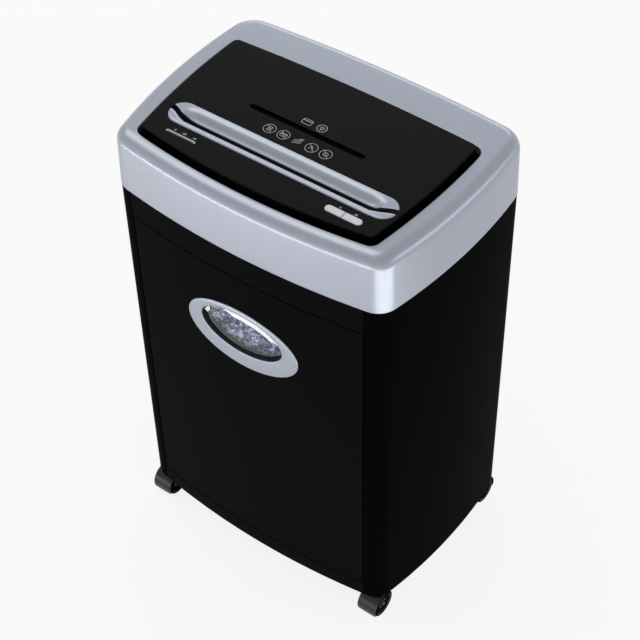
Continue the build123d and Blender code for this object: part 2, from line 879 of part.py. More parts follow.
motor_front = plate_half_span - motor_recess
motor_back = motor_front - motor_length
fan_back = motor_back - fan_thick - fan_gap
with BuildPart() as motor_can:
    with BuildSketch(across(motor_back, motor_y, z_compound)) as stack:
        Rectangle(motor_width, motor_width)
        chamfer(stack.vertices(), motor_corner)
    extrude(amount=motor_length)
    with BuildSketch(across(motor_front, motor_y, z_compound)):
        RegularPolygon(motor_spigot, spigot_sides)
    extrude(amount=plate_half_span - motor_front)
    with BuildSketch(across(motor_back, motor_y, z_compound)):
        Circle(motor_shaft_radius + running)
    extrude(amount=plate_half_span - motor_back, mode=Mode.SUBTRACT)
write(motor_can, "motor_can")

with BuildPart() as motor_shaft:
    with BuildSketch(across(fan_back, motor_y, z_compound)):
        Circle(motor_shaft_radius)
    extrude(amount=second_stage - fan_back)
    with BuildSketch(across(second_stage, motor_y, z_compound)):
        add(gear_plan(motor_module, motor_pinion_teeth, pi + pi / motor_pinion_teeth))
    extrude(amount=gear_thick)
write(motor_shaft, "motor_shaft")

with BuildPart() as motor_fan:
    with BuildSketch(across(fan_back, motor_y, z_compound)):
        RegularPolygon(fan_hub, 6)
        with PolarLocations(fan_radius / 2, fan_blades):
            Rectangle(fan_radius, blade_thick)
        RegularPolygon(motor_shaft_radius, 6, major_radius=False, mode=Mode.SUBTRACT)
    extrude(amount=fan_thick)
write(motor_fan, "motor_fan")

# ---------------------------------------------------------------- cabinet


def housing_ring(low, high):
    """The cabinet's wall, all the way round, between two heights."""
    with BuildPart() as ring:
        with BuildSketch(Plane.XY.offset(low)):
            add(body_plan(cabinet_inset))
            add(body_plan(cabinet_inset + cabinet_wall), mode=Mode.SUBTRACT)
        extrude(amount=high - low)
    return ring.part


def front_window(half, low, high, mode):
    """Keep or cut the front stretch of a ring, between -half and half."""
    with BuildSketch(Plane.XY.offset(low)) as window:
        with Locations((0, -body_depth / 2)):
            Rectangle(2 * half, body_depth)
    extrude(window.sketch, amount=high - low, mode=mode)


with BuildPart() as cabinet_shell:
    add(housing_ring(z_base, z_head))
    front_window(opening_half, z_base, z_head, Mode.SUBTRACT)
write(cabinet_shell, "cabinet_shell")

with BuildPart() as front_fascia:
    add(housing_ring(z_fascia, z_head))
    front_window(opening_half - fit_gap, z_fascia, z_head, Mode.INTERSECT)
write(front_fascia, "front_fascia")

base_inset = cabinet_inset + cabinet_wall + fit_gap
rail_half = opening_half - fit_gap
socket_places = [
    (-front_caster_x, front_caster_y),
    (front_caster_x, front_caster_y),
    (-back_caster_x, back_caster_y),
    (back_caster_x, back_caster_y),
]
with BuildPart() as cabinet_base:
    with BuildSketch(Plane.XY.offset(z_rail - base_thick)):
        add(body_plan(base_inset))
    extrude(amount=base_thick)
    with BuildSketch(Plane.XY.offset(z_base)):
        add(body_plan(cabinet_inset))
        add(body_plan(base_inset + base_thick), mode=Mode.SUBTRACT)
        with Locations((0, -body_depth / 2)):
            Rectangle(2 * rail_half, body_depth, mode=Mode.INTERSECT)
    extrude(amount=base_height)
    with BuildSketch(Plane.XY.offset(z_rail)):
        with GridLocations(2 * runner_x, 1, 2, 1):
            Rectangle(runner_width, body_depth - 2 * runner_margin)
    extrude(amount=runner_rise)
    with BuildSketch(Plane.XY.offset(z_base)):
        with Locations(*socket_places):
            RegularPolygon(stem_radius + socket_wall, socket_sides)
    extrude(amount=base_height - base_thick)
    with BuildSketch(Plane.XY.offset(z_base)):
        with Locations(*socket_places):
            Circle(stem_radius + running)
    extrude(amount=stem_length, mode=Mode.SUBTRACT)
write(cabinet_base, "cabinet_base")

# ---------------------------------------------------------------- waste bin

bin_inset = cabinet_inset + cabinet_wall + soft_gap
bin_bottom = z_runner + fit_gap
bin_back = body_depth / 2 - bin_back_gap


def bin_plan(inset, outset=0.0):
    """The tub's outline: bowed like the housing in front and straight elsewhere."""
    half = bin_half - inset + outset
    with BuildSketch() as plan:
        add(body_plan(bin_inset + inset))
        with Locations((0, bin_back - inset + outset - body_depth)):
            Rectangle(2 * half, 2 * body_depth, mode=Mode.INTERSECT)
    return plan.sketch


def oval_outline(half_width, half_height, sides):
    """A many-sided oval, drawn about its own centre."""
    turns = [2 * pi * (corner + 0.5) / sides for corner in range(sides)]
    with BuildSketch() as oval:
        with BuildLine():
            Polyline(*[(half_width * cos(t), half_height * sin(t)) for t in turns], close=True)
        make_face()
    return oval.sketch


def window_oval(half_width, half_height, sides, mode):
    """An oval bar through the bin's front, on the window's centre."""
    start = Plane(origin=(0, window_y - oval_reach, z_window), x_dir=(1, 0, 0), z_dir=(0, 1, 0))
    with BuildSketch(start) as bar:
        add(oval_outline(half_width, half_height, sides))
    extrude(bar.sketch, amount=4 * oval_reach, mode=mode)


with BuildPart() as bin_tub:
    with BuildSketch(Plane.XY.offset(bin_bottom)):
        add(bin_plan(0))
    extrude(amount=z_bin_top - bin_bottom)
    with BuildSketch(Plane.XY.offset(z_bin_top - bin_rim)):
        add(bin_plan(0, bin_rim))
    extrude(amount=bin_rim)
    with BuildSketch(Plane.XY.offset(bin_bottom + bin_wall)):
        add(bin_plan(bin_wall))
    extrude(amount=z_bin_top - bin_bottom, mode=Mode.SUBTRACT)
    window_oval(
        neck_half_width + soft_gap, neck_half_height + soft_gap, neck_sides, Mode.SUBTRACT
    )
write(bin_tub, "bin_tub")

with BuildPart() as bin_front:
    add(housing_ring(z_rail + seam, z_fascia - seam))
    front_window(opening_half - seam, z_rail, z_fascia, Mode.INTERSECT)
    window_oval(neck_half_width + fit_gap, neck_half_height + fit_gap, neck_sides, Mode.SUBTRACT)
write(bin_front, "bin_front")


def curved_slab(outer_inset, inner_inset):
    """A slab that follows the housing's front, between two insets of its plan."""
    with BuildPart() as slab:
        with BuildSketch(Plane.XY.offset(z_window - 2 * bezel_half_height)):
            add(body_plan(outer_inset))
            add(body_plan(inner_inset), mode=Mode.SUBTRACT)
            with Locations((0, -body_depth / 2)):
                Rectangle(4 * bezel_half_width, body_depth, mode=Mode.INTERSECT)
        extrude(amount=4 * bezel_half_height)
    return slab.part


def oval_slab(half_width, half_height, sides, outer_inset, inner_inset):
    """An oval plate on the window's centre that follows the housing's front."""
    with BuildPart() as oval:
        window_oval(half_width, half_height, sides, Mode.ADD)
        add(curved_slab(outer_inset, inner_inset), mode=Mode.INTERSECT)
    return oval.part


with BuildPart() as window_bezel:
    flange_inset = cabinet_inset - window_proud
    add(oval_slab(bezel_half_width, bezel_half_height, bezel_sides, flange_inset, cabinet_inset))
    add(oval_slab(neck_half_width, neck_half_height, neck_sides, cabinet_inset, neck_depth))
    slope_start = window_y - window_proud
    slope_depth = window_proud + window_dish
    slope_angle = degrees(atan2(window_slope, slope_depth))
    slope_plane = Plane(origin=(0, slope_start, z_window), x_dir=(1, 0, 0), z_dir=(0, 1, 0))
    with BuildSketch(slope_plane):
        add(oval_outline(lens_half_width + window_slope, lens_half_height + window_slope, bezel_sides))
    extrude(amount=slope_depth, taper=slope_angle, mode=Mode.SUBTRACT)
    window_oval(lens_half_width, lens_half_height, bezel_sides, Mode.SUBTRACT)
write(window_bezel, "window_bezel")

with BuildPart() as window_lens:
    lens_inset = cabinet_inset + window_dish
    lens_back = lens_inset + lens_thick
    add(oval_slab(lens_half_width, lens_half_height, bezel_sides, lens_inset, lens_back))
write(window_lens, "window_lens")

with BuildPart() as paper_shreds:
    shred_top = z_bin_top - shred_drop
    shred_bottom = bin_bottom + bin_wall + soft_gap
    with BuildSketch(Plane.XY.offset(shred_bottom)):
        add(bin_plan(bin_wall + soft_gap))
        add(body_plan(neck_depth + shred_gap), mode=Mode.INTERSECT)
    extrude(amount=shred_top - shred_bottom)
    with BuildSketch(across(-bin_half)):
        with BuildLine():
            Polyline(
                (-shred_crest, shred_top),
                (body_depth, shred_top - shred_slope),
                (body_depth, shred_top),
                close=True,
            )
        make_face()
    extrude(amount=2 * bin_half, mode=Mode.SUBTRACT)
write(paper_shreds, "paper_shreds")

with BuildPart() as bin_guides:
    guide_top = z_bin_top - bin_rim - soft_gap
    with BuildSketch(Plane.XY.offset(guide_top - guide_thick)):
        add(body_plan(cabinet_inset + cabinet_wall))
        Rectangle(2 * body_depth, body_depth - 2 * guide_margin, mode=Mode.INTERSECT)
        Rectangle(2 * (bin_half + guide_gap), body_depth, mode=Mode.SUBTRACT)
    extrude(amount=guide_thick)
write(bin_guides, "bin_guides")

# ---------------------------------------------------------------- casters

hood_inner = wheel_radius + wheel_gap
hood_outer = hood_inner + hood_wall
boss_bottom = z_base - swivel_gap - boss_thick
wheel_start = hood_web / 2 + wheel_gap
for place_name, stem_x, stem_y, facing in (
    ("front_left", -front_caster_x, front_caster_y, -1),
    ("front_right", front_caster_x, front_caster_y, -1),
    ("back_left", -back_caster_x, back_caster_y, 1),
    ("back_right", back_caster_x, back_caster_y, 1),
):
    axle_y = stem_y + facing * caster_trail
    with BuildPart() as caster_hood:
        with BuildSketch(across(stem_x - hood_width / 2, axle_y, wheel_radius)):
            RegularPolygon(hood_outer, wheel_flats)
            RegularPolygon(hood_inner, wheel_flats, mode=Mode.SUBTRACT)
            with BuildLine():
                Polyline(
                    (0, 0),
                    (-facing * hood_back, 2 * wheel_radius),
                    (facing * 2 * wheel_radius, 2 * wheel_radius),
                    (facing * 2 * wheel_radius, -hood_low),
                    close=True,
                )
            make_face(mode=Mode.INTERSECT)
        extrude(amount=hood_width)
        with BuildSketch(across(stem_x - hood_web / 2, axle_y, wheel_radius)):
            RegularPolygon(hood_outer, wheel_flats)
            with BuildLine():
                Polyline(
                    (-facing * hood_back, -hood_foot),
                    (-facing * hood_back, 2 * wheel_radius),
                    (facing * 2 * wheel_radius, 2 * wheel_radius),
                    (facing * 2 * wheel_radius, -hood_low),
                    (0, -hood_foot),
                    close=True,
                )
            make_face(mode=Mode.INTERSECT)
            Circle(axle_radius + running, mode=Mode.SUBTRACT)
        extrude(amount=hood_web)
        with BuildSketch(Plane.XY.offset(boss_bottom)):
            with Locations((stem_x, stem_y)):
                RegularPolygon(stem_radius + boss_wall, boss_sides)
        extrude(amount=boss_thick)
        with BuildSketch(Plane.XY.offset(boss_bottom)):
            with Locations((stem_x, stem_y)):
                Circle(stem_radius)
        extrude(amount=stem_length)
    write(caster_hood, f"caster_hood_{place_name}")

    with BuildPart() as caster_axle:
        with BuildSketch(across(stem_x - hood_width / 2 + axle_short, axle_y, wheel_radius)):
            Circle(axle_radius)
        extrude(amount=hood_width - 2 * axle_short)
    write(caster_axle, f"caster_axle_{place_name}")

    with BuildPart() as caster_wheels:
        for wheel_x in (stem_x - wheel_start - wheel_width, stem_x + wheel_start):
            with BuildSketch(across(wheel_x, axle_y, wheel_radius)):
                RegularPolygon(wheel_radius, wheel_flats)
                RegularPolygon(axle_radius, 6, major_radius=False, mode=Mode.SUBTRACT)
            extrude(amount=wheel_width)
    write(caster_wheels, f"caster_wheels_{place_name}")
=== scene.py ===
# %% [markdown]
# # A deskside paper shredder, dressed for the camera
# The machine is a black cabinet on four small casters, with a silver head that holds a black
# panel, a paper throat and a disc slot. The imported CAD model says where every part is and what
# moves. This lesson adds what the eye needs: rolled edges, moulding grain, flake in the silver,
# a clear window with crumpled strips behind it, and a soft studio to see them in.

import bpy
import bmesh
import json
import random
from math import atan2, cos, hypot, pi, radians, sin, sqrt, tan
from mathutils import Matrix, Vector


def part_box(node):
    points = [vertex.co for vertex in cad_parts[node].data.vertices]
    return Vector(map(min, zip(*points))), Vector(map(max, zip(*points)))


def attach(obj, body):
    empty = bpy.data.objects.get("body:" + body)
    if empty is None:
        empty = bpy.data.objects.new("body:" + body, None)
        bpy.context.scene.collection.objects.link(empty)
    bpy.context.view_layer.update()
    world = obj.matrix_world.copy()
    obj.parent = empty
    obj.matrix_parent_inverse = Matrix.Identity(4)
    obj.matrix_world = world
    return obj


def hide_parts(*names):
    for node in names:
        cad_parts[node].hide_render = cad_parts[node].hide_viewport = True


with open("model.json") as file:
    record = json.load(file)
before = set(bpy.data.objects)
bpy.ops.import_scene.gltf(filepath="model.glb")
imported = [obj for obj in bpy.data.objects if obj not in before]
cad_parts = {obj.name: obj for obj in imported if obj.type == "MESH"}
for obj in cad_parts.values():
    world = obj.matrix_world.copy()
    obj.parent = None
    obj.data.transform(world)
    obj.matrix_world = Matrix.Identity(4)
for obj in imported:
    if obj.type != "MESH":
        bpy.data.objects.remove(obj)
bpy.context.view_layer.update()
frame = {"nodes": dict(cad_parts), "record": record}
mm = 0.001

# %% [markdown]
# ## Shader sums that read like sums
# A finish is a small recipe of nodes. Wiring each one by hand is slow to read, so a socket is
# wrapped in a class that knows plus, minus and times. `1 - grain * 0.2` then adds its own Math
# nodes. Any other node comes from one method, `Finish.node`, which sets the node's settings
# first and its sockets after.

# %% A socket that can be added and multiplied
class Wire:
    """One output socket of a recipe, with sums that add Math nodes."""

    def __init__(self, recipe, socket):
        self.recipe = recipe
        self.socket = socket

    def sum(self, operation, first, second):
        return self.recipe.node("ShaderNodeMath", {"operation": operation}, {0: first, 1: second})

    def __add__(self, other):
        return self.sum("ADD", self, other)

    def __sub__(self, other):
        return self.sum("SUBTRACT", self, other)

    def __rsub__(self, other):
        return self.sum("SUBTRACT", other, self)

    def __mul__(self, other):
        return self.sum("MULTIPLY", self, other)

    __radd__ = __add__
    __rmul__ = __mul__


class Recipe:
    """A tree of nodes under construction."""

    def __init__(self, tree):
        self.tree = tree

    def put(self, socket, value):
        if isinstance(value, Wire):
            self.tree.links.new(value.socket, socket)
        else:
            socket.default_value = value

    def node(self, kind, settings=None, sockets=None, output=0):
        made = self.tree.nodes.new(kind)
        for name, value in (settings or {}).items():
            setattr(made, name, value)
        for name, value in (sockets or {}).items():
            self.put(made.inputs[name], value)
        return Wire(self, made.outputs[output])

    def shown_white(self):
        """1 for a ray that shows the backdrop: to the eye, off a gloss or through clear plastic."""
        eye, gloss, clear_way = (
            self.node("ShaderNodeLightPath", output=f"Is {kind} Ray")
            for kind in ("Camera", "Glossy", "Transmission")
        )
        return self.node("ShaderNodeClamp", {}, {"Value": eye + gloss + clear_way})


class Finish(Recipe):
    """A material under construction, with its Principled shader already in place."""

    def __init__(self, name, colour, roughness, metallic=0.0, **fixed):
        self.material = bpy.data.materials.new(name)
        self.material.use_nodes = True
        super().__init__(self.material.node_tree)
        self.shader = self.tree.nodes["Principled BSDF"]
        self.set("Base Color", (*colour, 1.0))
        self.set("Roughness", roughness)
        self.set("Metallic", metallic)
        for socket, value in fixed.items():
            self.set(socket.replace("_", " "), value)

    def set(self, name, value):
        self.put(self.shader.inputs[name], value)

    def place(self):
        """Where a point is on the piece itself, so that the grain travels with it."""
        return self.node("ShaderNodeTexCoord", output="Object")

    def noise(self, scale, detail=2.0, stretch=(1, 1, 1)):
        spot = self.node(
            "ShaderNodeVectorMath", {"operation": "MULTIPLY"}, {0: self.place(), 1: stretch}
        )
        values = {"Vector": spot, "Scale": scale, "Detail": detail}
        return self.node("ShaderNodeTexNoise", {}, values)

    def cells(self, scale):
        return self.node("ShaderNodeTexVoronoi", {}, {"Vector": self.place(), "Scale": scale})

    def blend(self, share, first, second):
        """A colour between two colours; share 0 gives the first."""
        made = self.tree.nodes.new("ShaderNodeMix")
        made.data_type = "RGBA"
        self.put(made.inputs["Factor"], share)
        self.put(made.inputs[6], (*first, 1.0))
        self.put(made.inputs[7], (*second, 1.0))
        return Wire(self, made.outputs[2])

    def bump(self, height, depth, strength=1.0):
        self.set(
            "Normal",
            self.node(
                "ShaderNodeBump", {}, {"Height": height, "Distance": depth, "Strength": strength}
            ),
        )


finishes = {}

# %% [markdown]
# ## Silver moulding
# The head, the window's ring and the throat are plastic with a silver coat. Up close the coat is
# full of small flakes that catch the light one by one, and it is a little cloudy over a hand's
# breadth. The flakes are a fine cell pattern that shifts the colour by a few percent and tips
# the surface very slightly; the cloud is a slow noise in the roughness.

# %% Silver coat with flake
silver = Finish("silver_coat", (0.34, 0.37, 0.435), 0.32, 0.7, Specular_IOR_Level=0.5)
flake = silver.cells(1500.0)
cloud = silver.noise(9.0)
silver_low, silver_high = (0.31, 0.34, 0.405), (0.37, 0.40, 0.465)
silver.set("Base Color", silver.blend(flake * 0.9 + cloud * 0.1, silver_low, silver_high))
silver.set("Roughness", 0.31 + cloud * 0.07)
silver.bump(flake, 0.00003, 0.25)
finishes["silver_plastic"] = silver.material

key = Finish("key_silver", (0.58, 0.60, 0.64), 0.34, 0.6)
key_flake = key.cells(1500.0)
key.set("Base Color", key.blend(key_flake, (0.55, 0.57, 0.61), (0.62, 0.64, 0.68)))
key.set("Roughness", 0.30 + key.noise(60.0) * 0.08)
key.bump(key_flake, 0.00003, 0.25)

# %% [markdown]
# ## Black mouldings
# The cabinet is black plastic straight from the mould, with a fine even grain that kills sharp
# reflections. The panel between the slots has a smoother grain and shines more, and the casters
# shine most. The wrap-round shell is a deeper black than the same plastic on the front, as painted
# shade on its sides. What is seen of each is mostly the light that its grain scatters, so one
# recipe serves all five, with a colour, a shine and a grain each.

# %% Grained black, smooth black and inner black
def black_moulding(name, colour, roughness, shine, grain_scale, grain_depth):
    """A black moulded surface with an even grain."""
    finish = Finish(name, colour, roughness, Specular_IOR_Level=shine)
    grain = finish.noise(grain_scale, 3.0)
    haze = finish.noise(6.0)
    finish.set("Roughness", haze * 0.10 + grain * 0.06 + (roughness - 0.08))
    finish.bump(grain, grain_depth, 0.5)
    return finish.material


for slot, moulding in {
    "cabinet_plastic": ("cabinet_black", (0.0040, 0.0040, 0.0046), 0.42, 0.0035, 1900.0, 0.00006),
    "black_plastic": ("panel_black", (0.0068, 0.0068, 0.0075), 0.42, 0.035, 2600.0, 0.00004),
    "inner_black": ("inner_black", (0.012, 0.012, 0.013), 0.55, 0.3, 1200.0, 0.00008),
    "caster_plastic": ("caster_black", (0.0040, 0.0042, 0.0048), 0.34, 0.36, 2200.0, 0.00005),
    # painted shade: a deeper, duller copy of the cabinet black for the shell and the panel's moat
    # wall; also the dull cheeks of the wheels
    "deep_black_and_shade": ("deep_black_and_shade", (0.0014, 0.0014, 0.0017), 0.46, 0.0025, 1900.0, 0.00006),
}.items():
    finishes[slot] = black_moulding(*moulding)
deep_black_and_shade = finishes["deep_black_and_shade"]

# %% [markdown]
# ## Metals
# The frame plates are zinc-plated sheet, drawn through rolls, so their grain runs one way. The
# cutters are turned and ground: the marks run round the shaft, and oil leaves brown streaks.
# Stretching a noise along one axis gives both.

# %% Plated steel, cutter steel and bush bronze
def drawn_metal(name, colour, dark, roughness, stretch):
    """Metal with marks along one direction."""
    finish = Finish(name, colour, roughness, 1.0)
    marks = finish.noise(420.0, 4.0, stretch)
    stain = finish.noise(35.0)
    finish.set("Base Color", finish.blend(stain * 0.7 + marks * 0.3, dark, colour))
    finish.set("Roughness", marks * 0.22 + (roughness - 0.08))
    finish.bump(marks, 0.00004, 0.35)
    return finish.material


zinc, dull_zinc = (0.58, 0.59, 0.60), (0.42, 0.43, 0.45)
ground, oiled = (0.40, 0.40, 0.41), (0.20, 0.18, 0.15)
bronze, brown_bronze = (0.62, 0.43, 0.22), (0.40, 0.26, 0.12)
finishes["plain_steel"] = drawn_metal("plated_steel", zinc, dull_zinc, 0.32, (0.06, 1, 1))
finishes["cutter_steel"] = drawn_metal("cutter_steel", ground, oiled, 0.34, (1, 0.2, 0.2))
finishes["bush_bronze"] = drawn_metal("bush_bronze", bronze, brown_bronze, 0.40, (1, 1, 1))

# %% [markdown]
# ## Nylon, rubber, board, light guide, ink
# Nylon gears are off-white and slightly greasy, tread rubber is black with a faint bloom, and the
# circuit board is green lacquer over a faint weave. The light guide is smoked plastic, dark until
# a lamp behind it is lit. Printed ink is a grey that is never quite even; the scale on the light
# strip is printed brighter than the signs.

# %% Gear nylon, tread, board, light guide and ink
def mottled(name, colour, roughness, pattern, one, other, fuzz=None, grain=None, **fixed):
    """A finish that wanders from one colour to the other after a noise pattern.

    fuzz adds (least roughness, how much of the pattern); grain adds a bump (scale, or None for
    the pattern itself, depth in metres, strength).
    """
    finish = Finish(name, colour, roughness, **fixed)
    mottle = finish.noise(*pattern)
    finish.set("Base Color", finish.blend(mottle, one, other))
    if fuzz:
        finish.set("Roughness", fuzz[0] + mottle * fuzz[1])
    if grain:
        finish.bump(finish.noise(grain[0]) if grain[0] else mottle, *grain[1:])
    return finish.material


finishes["gear_plastic"] = mottled(
    "gear_nylon", (0.80, 0.77, 0.69), 0.38, (60.0,),
    (0.83, 0.81, 0.75), (0.68, 0.62, 0.48), (0.25, 0.25), (900.0, 0.00004, 0.3),
)
finishes["tread_rubber"] = mottled(
    "caster_tread", (0.004, 0.004, 0.0045), 0.40, (130.0, 4.0),
    (0.0035, 0.0035, 0.004), (0.007, 0.007, 0.008), (0.34, 0.2), (1500.0, 0.0001, 0.5),
    Specular_IOR_Level=0.40,
)
finishes["board_green"] = mottled(
    "board_lacquer", (0.02, 0.16, 0.06), 0.3, (2400.0, 1.0, (1, 0.2, 1)),
    (0.015, 0.13, 0.05), (0.03, 0.20, 0.08), grain=(None, 0.00003, 0.4),
)
finishes["indicator_white"] = mottled(
    "light_guide", (0.035, 0.036, 0.038), 0.30, (400.0,),
    (0.030, 0.031, 0.033), (0.045, 0.046, 0.048), Specular_IOR_Level=0.2,
)
finishes["printed_mark"] = mottled(
    "printed_mark", (0.30, 0.30, 0.31), 0.5, (3000.0,), (0.34, 0.34, 0.35), (0.48, 0.48, 0.49)
)
finishes["bright_mark"] = mottled(
    "bright_mark", (0.55, 0.56, 0.58), 0.4, (3000.0,), (0.46, 0.47, 0.49), (0.64, 0.65, 0.67)
)

# %% [markdown]
# ## Clear window and paper
# The window is one clear moulding. It lets light straight through with a faint tint, and mirrors
# the room more and more as it turns edge-on. Only its outer face may mirror: the inner face, met
# from inside the plastic, would throw everything back. A pale strip along its edge is a painted
# reflection of the room's light. The strips behind are cheap office paper cut small: bluish white,
# printed here and there with a dark bluish grey that also paints the shade between strips, and
# matt.

# %% Clear plastic and cut paper
full_white = (1.0, 1.0, 1.0, 1.0)
clear = Finish("window_clear", (0.95, 0.96, 0.98), 0.05, Specular_IOR_Level=0.6)
through = clear.node("ShaderNodeBsdfTransparent", {}, {"Color": (0.93, 0.95, 0.98, 1.0)})
sheen = clear.node("ShaderNodeBsdfGlossy", {}, {"Color": full_white, "Roughness": 0.06})
inside = clear.node("ShaderNodeNewGeometry", output="Backfacing")
shine = clear.node("ShaderNodeFresnel", {}, {"IOR": 1.42}) * (1 - inside)
layered = clear.node("ShaderNodeMixShader", {}, {0: shine, 1: through, 2: sheen})
clear.put(clear.tree.nodes["Material Output"].inputs["Surface"], layered)
finishes["clear_window"] = clear.material

# painted reflection: a pale matt finish for strips that stand for the room's light mirrored in the
# dome
finishes["painted_reflection"] = mottled(
    "painted_reflection", (0.86, 0.88, 0.92), 0.25, (900.0,),
    (0.80, 0.82, 0.87), (0.92, 0.93, 0.95), Specular_IOR_Level=0.6,
)


def cut_paper(name, pale, dark):
    """Matt paper, printed in dark patches that also paint the shade between strips, with a fibre
    grain.
    """
    finish = Finish(name, pale, 0.85, Specular_IOR_Level=0.2)
    print_and_shade_patches = finish.noise(150.0, 3.0)
    fibre = finish.noise(2600.0, 3.0)
    share = finish.node("ShaderNodeClamp", {}, {"Value": print_and_shade_patches * 4.4 - 1.85})
    finish.set("Base Color", finish.blend(share, pale, dark))
    finish.bump(fibre, 0.00006, 0.4)
    return finish.material


# the dark grey is real print and also painted shade between the strips
paper, print_and_shade_grey = (0.84, 0.87, 0.98), (0.11, 0.13, 0.24)
# painted shade: a darkened copy of the paper and its print, for the heap body
shaded_paper_colour, shaded_print_colour = (0.14, 0.155, 0.22), (0.05, 0.06, 0.10)
finishes["shredded_paper"] = cut_paper("cut_paper", paper, print_and_shade_grey)
finishes["shadowed_paper"] = cut_paper("shadowed_paper", shaded_paper_colour, shaded_print_colour)
print("finishes", len(finishes))

# %% [markdown]
# ## Every CAD node gets a finish
# The record says which slot each node takes. A node that keeps its CAD shape is dressed here. A
# moulding also needs rolled edges, because a real edge is never a mathematical line: it carries
# a thin highlight that tells the eye how big the part is.

# %% Dress the nodes
slot_of = {part["node"]: part["material_slot"] for part in frame["record"]["subparts"]}
body_of = {
    node: body
    for body, nodes in frame["record"]["behaviour"]["bodies"].items()
    for node in nodes
}
inner_nodes = {"head_base", "bin_guides", "bin_tub", "disc_chute", "cord_gland", "motor_fan"}


def finish_of(node):
    """The finish that a node wears: its slot's own, but for a few.

    The keys are a lighter silver than the head, the shell is a deeper black as painted shade, the
    caster pins are blacked, and mouldings out of sight are plain inner black.
    """
    if node in ("reverse_button", "power_button"):
        return key.material
    # painted shade: the shell is a deeper black than the same plastic on the front
    if node == "cabinet_shell":
        return deep_black_and_shade
    if node.startswith("caster_axle"):
        return finishes["caster_plastic"]
    return finishes["inner_black" if node in inner_nodes else slot_of[node]]


for node, thing in frame["nodes"].items():
    thing.data.materials.clear()
    thing.data.materials.append(finish_of(node))


def new_piece(name, mesh=None):
    """An object with that mesh or other data, or an empty mesh, put in the scene."""
    piece = bpy.data.objects.new(name, mesh or bpy.data.meshes.new(name))
    bpy.context.scene.collection.objects.link(piece)
    return piece


def settle(piece, node, finish=None):
    """Give a new piece the body and slot of the CAD node that it belongs to, and a finish."""
    piece.data.materials.clear()
    piece.data.materials.append(finish or finish_of(node))
    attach(piece, body_of[node])


def second_finish(piece, finish, chosen):
    """Give some faces of a piece another finish: those for which chosen(face) is true."""
    piece.data.materials.append(finish)
    for face in piece.data.polygons:
        if chosen(face):
            face.material_index = 1


def smooth(mesh, angle=32.0):
    """Smooth shading that stays crisp where faces meet more sharply than the angle."""
    for face in mesh.polygons:
        face.use_smooth = True
    mesh.set_sharp_from_angle(angle=radians(angle))


def bake(piece):
    """Apply a piece's modifiers, so that its mesh is its final shape."""
    graph = bpy.context.evaluated_depsgraph_get()
    shape = bpy.data.meshes.new_from_object(piece.evaluated_get(graph))
    piece.modifiers.clear()
    piece.data = shape


def even_shade(piece, angle=40.0):
    """Let the large faces rule the shading, so that a flat stays flat up to its rolled edge."""
    smooth(piece.data, angle)
    weigh = piece.modifiers.new("even_shade", "WEIGHTED_NORMAL")
    weigh.keep_sharp = True
    bake(piece)


# %% Roll the edges of a moulding
def roll_edges(piece, width, steps, angle):
    """Round over each edge that turns by more than angle degrees."""
    edge = piece.modifiers.new("rolled_edge", "BEVEL")
    edge.width = width
    edge.segments = steps
    edge.limit_method = "ANGLE"
    edge.angle_limit = radians(angle)
    bake(piece)


def rolled(node, width, steps=2, angle=28.0):
    """A copy of a CAD node with each sharp edge rolled over by width, in metres."""
    mesh = frame["nodes"][node].data.copy()
    work = bmesh.new()
    work.from_mesh(mesh)
    bmesh.ops.remove_doubles(work, verts=work.verts, dist=1e-6)
    bmesh.ops.dissolve_limit(
        work,
        angle_limit=radians(0.4),
        verts=work.verts,
        edges=work.edges,
        use_dissolve_boundaries=False,
    )
    work.to_mesh(mesh)
    work.free()
    piece = new_piece(node + "_moulded", mesh)
    roll_edges(piece, width, steps, angle)
    even_shade(piece)
    settle(piece, node)
    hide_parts(node)
    return piece


# %% [markdown]
# ## The cabinet
# Wall, fascia, rail and bin front are thin black mouldings with seams of a millimetre between
# them. A roll of half a millimetre or more on each edge lets the seams read as they do on the
# real thing. Gears and cutters get a much finer one. The panel's upright wall stands in a moat
# that no light reaches, so below its shoulder it is given the deepest black as painted shade.

# %% Roll the cabinet's edges
edge_widths = {  # millimetres of roll
    "cabinet_shell": 0.7, "front_fascia": 0.5, "bin_front": 0.9, "cabinet_base": 0.4,
    "top_panel": 0.5, "reverse_button": 0.8, "power_button": 0.8, "head_base": 0.4,
    "bin_tub": 0.6, "cord_gland": 0.4, "left_side_plate": 0.3, "right_side_plate": 0.3,
    "gearbox_plate": 0.3, "motor_can": 0.8, "front_cutter": 0.25, "rear_cutter": 0.25,
    "disc_cutter": 0.25, "drive_gear": 0.2, "compound_gear": 0.2, "front_sync_gear": 0.2,
    "rear_sync_gear": 0.2, "disc_sync_gear": 0.2, "front_stripper": 0.3, "rear_stripper": 0.3,
}
fine_roll, panel_shoulder = 0.45, 529.0
for node, width in edge_widths.items():
    piece = rolled(node, width * mm, 3 if width > fine_roll else 2)
    if node == "top_panel":
        # painted shade: the panel's wall below its shoulder takes the deepest black
        second_finish(piece, deep_black_and_shade, lambda face: face.center.z < panel_shoulder * mm)
    print(node, "faces", len(piece.data.polygons))

# %% [markdown]
# ## A plan with bowed sides
# Seen from above the head is four shallow arcs joined by round corners. A drawing like that can
# be walked as one list of samples: each sample knows its arc's centre, radius and direction, so
# the same walk drawn in by any amount stays in step and two loops can be joined face by face.

# %% Walk the plan
def bow_radius(half, sag):
    """The radius of a shallow arc, from half its chord and its sag."""
    return (half**2 + sag**2) / (2 * sag)


def toward(centre, spot):
    """The direction from an arc's centre to a spot."""
    return atan2(spot[1] - centre[1], spot[0] - centre[0])


def arc_samples(arc, start, stop, steps):
    """Samples along an arc (x, y, radius), the shorter way from one direction to another."""
    sweep = (stop - start + pi) % (2 * pi) - pi
    return [(*arc, start + sweep * step / steps) for step in range(steps)]


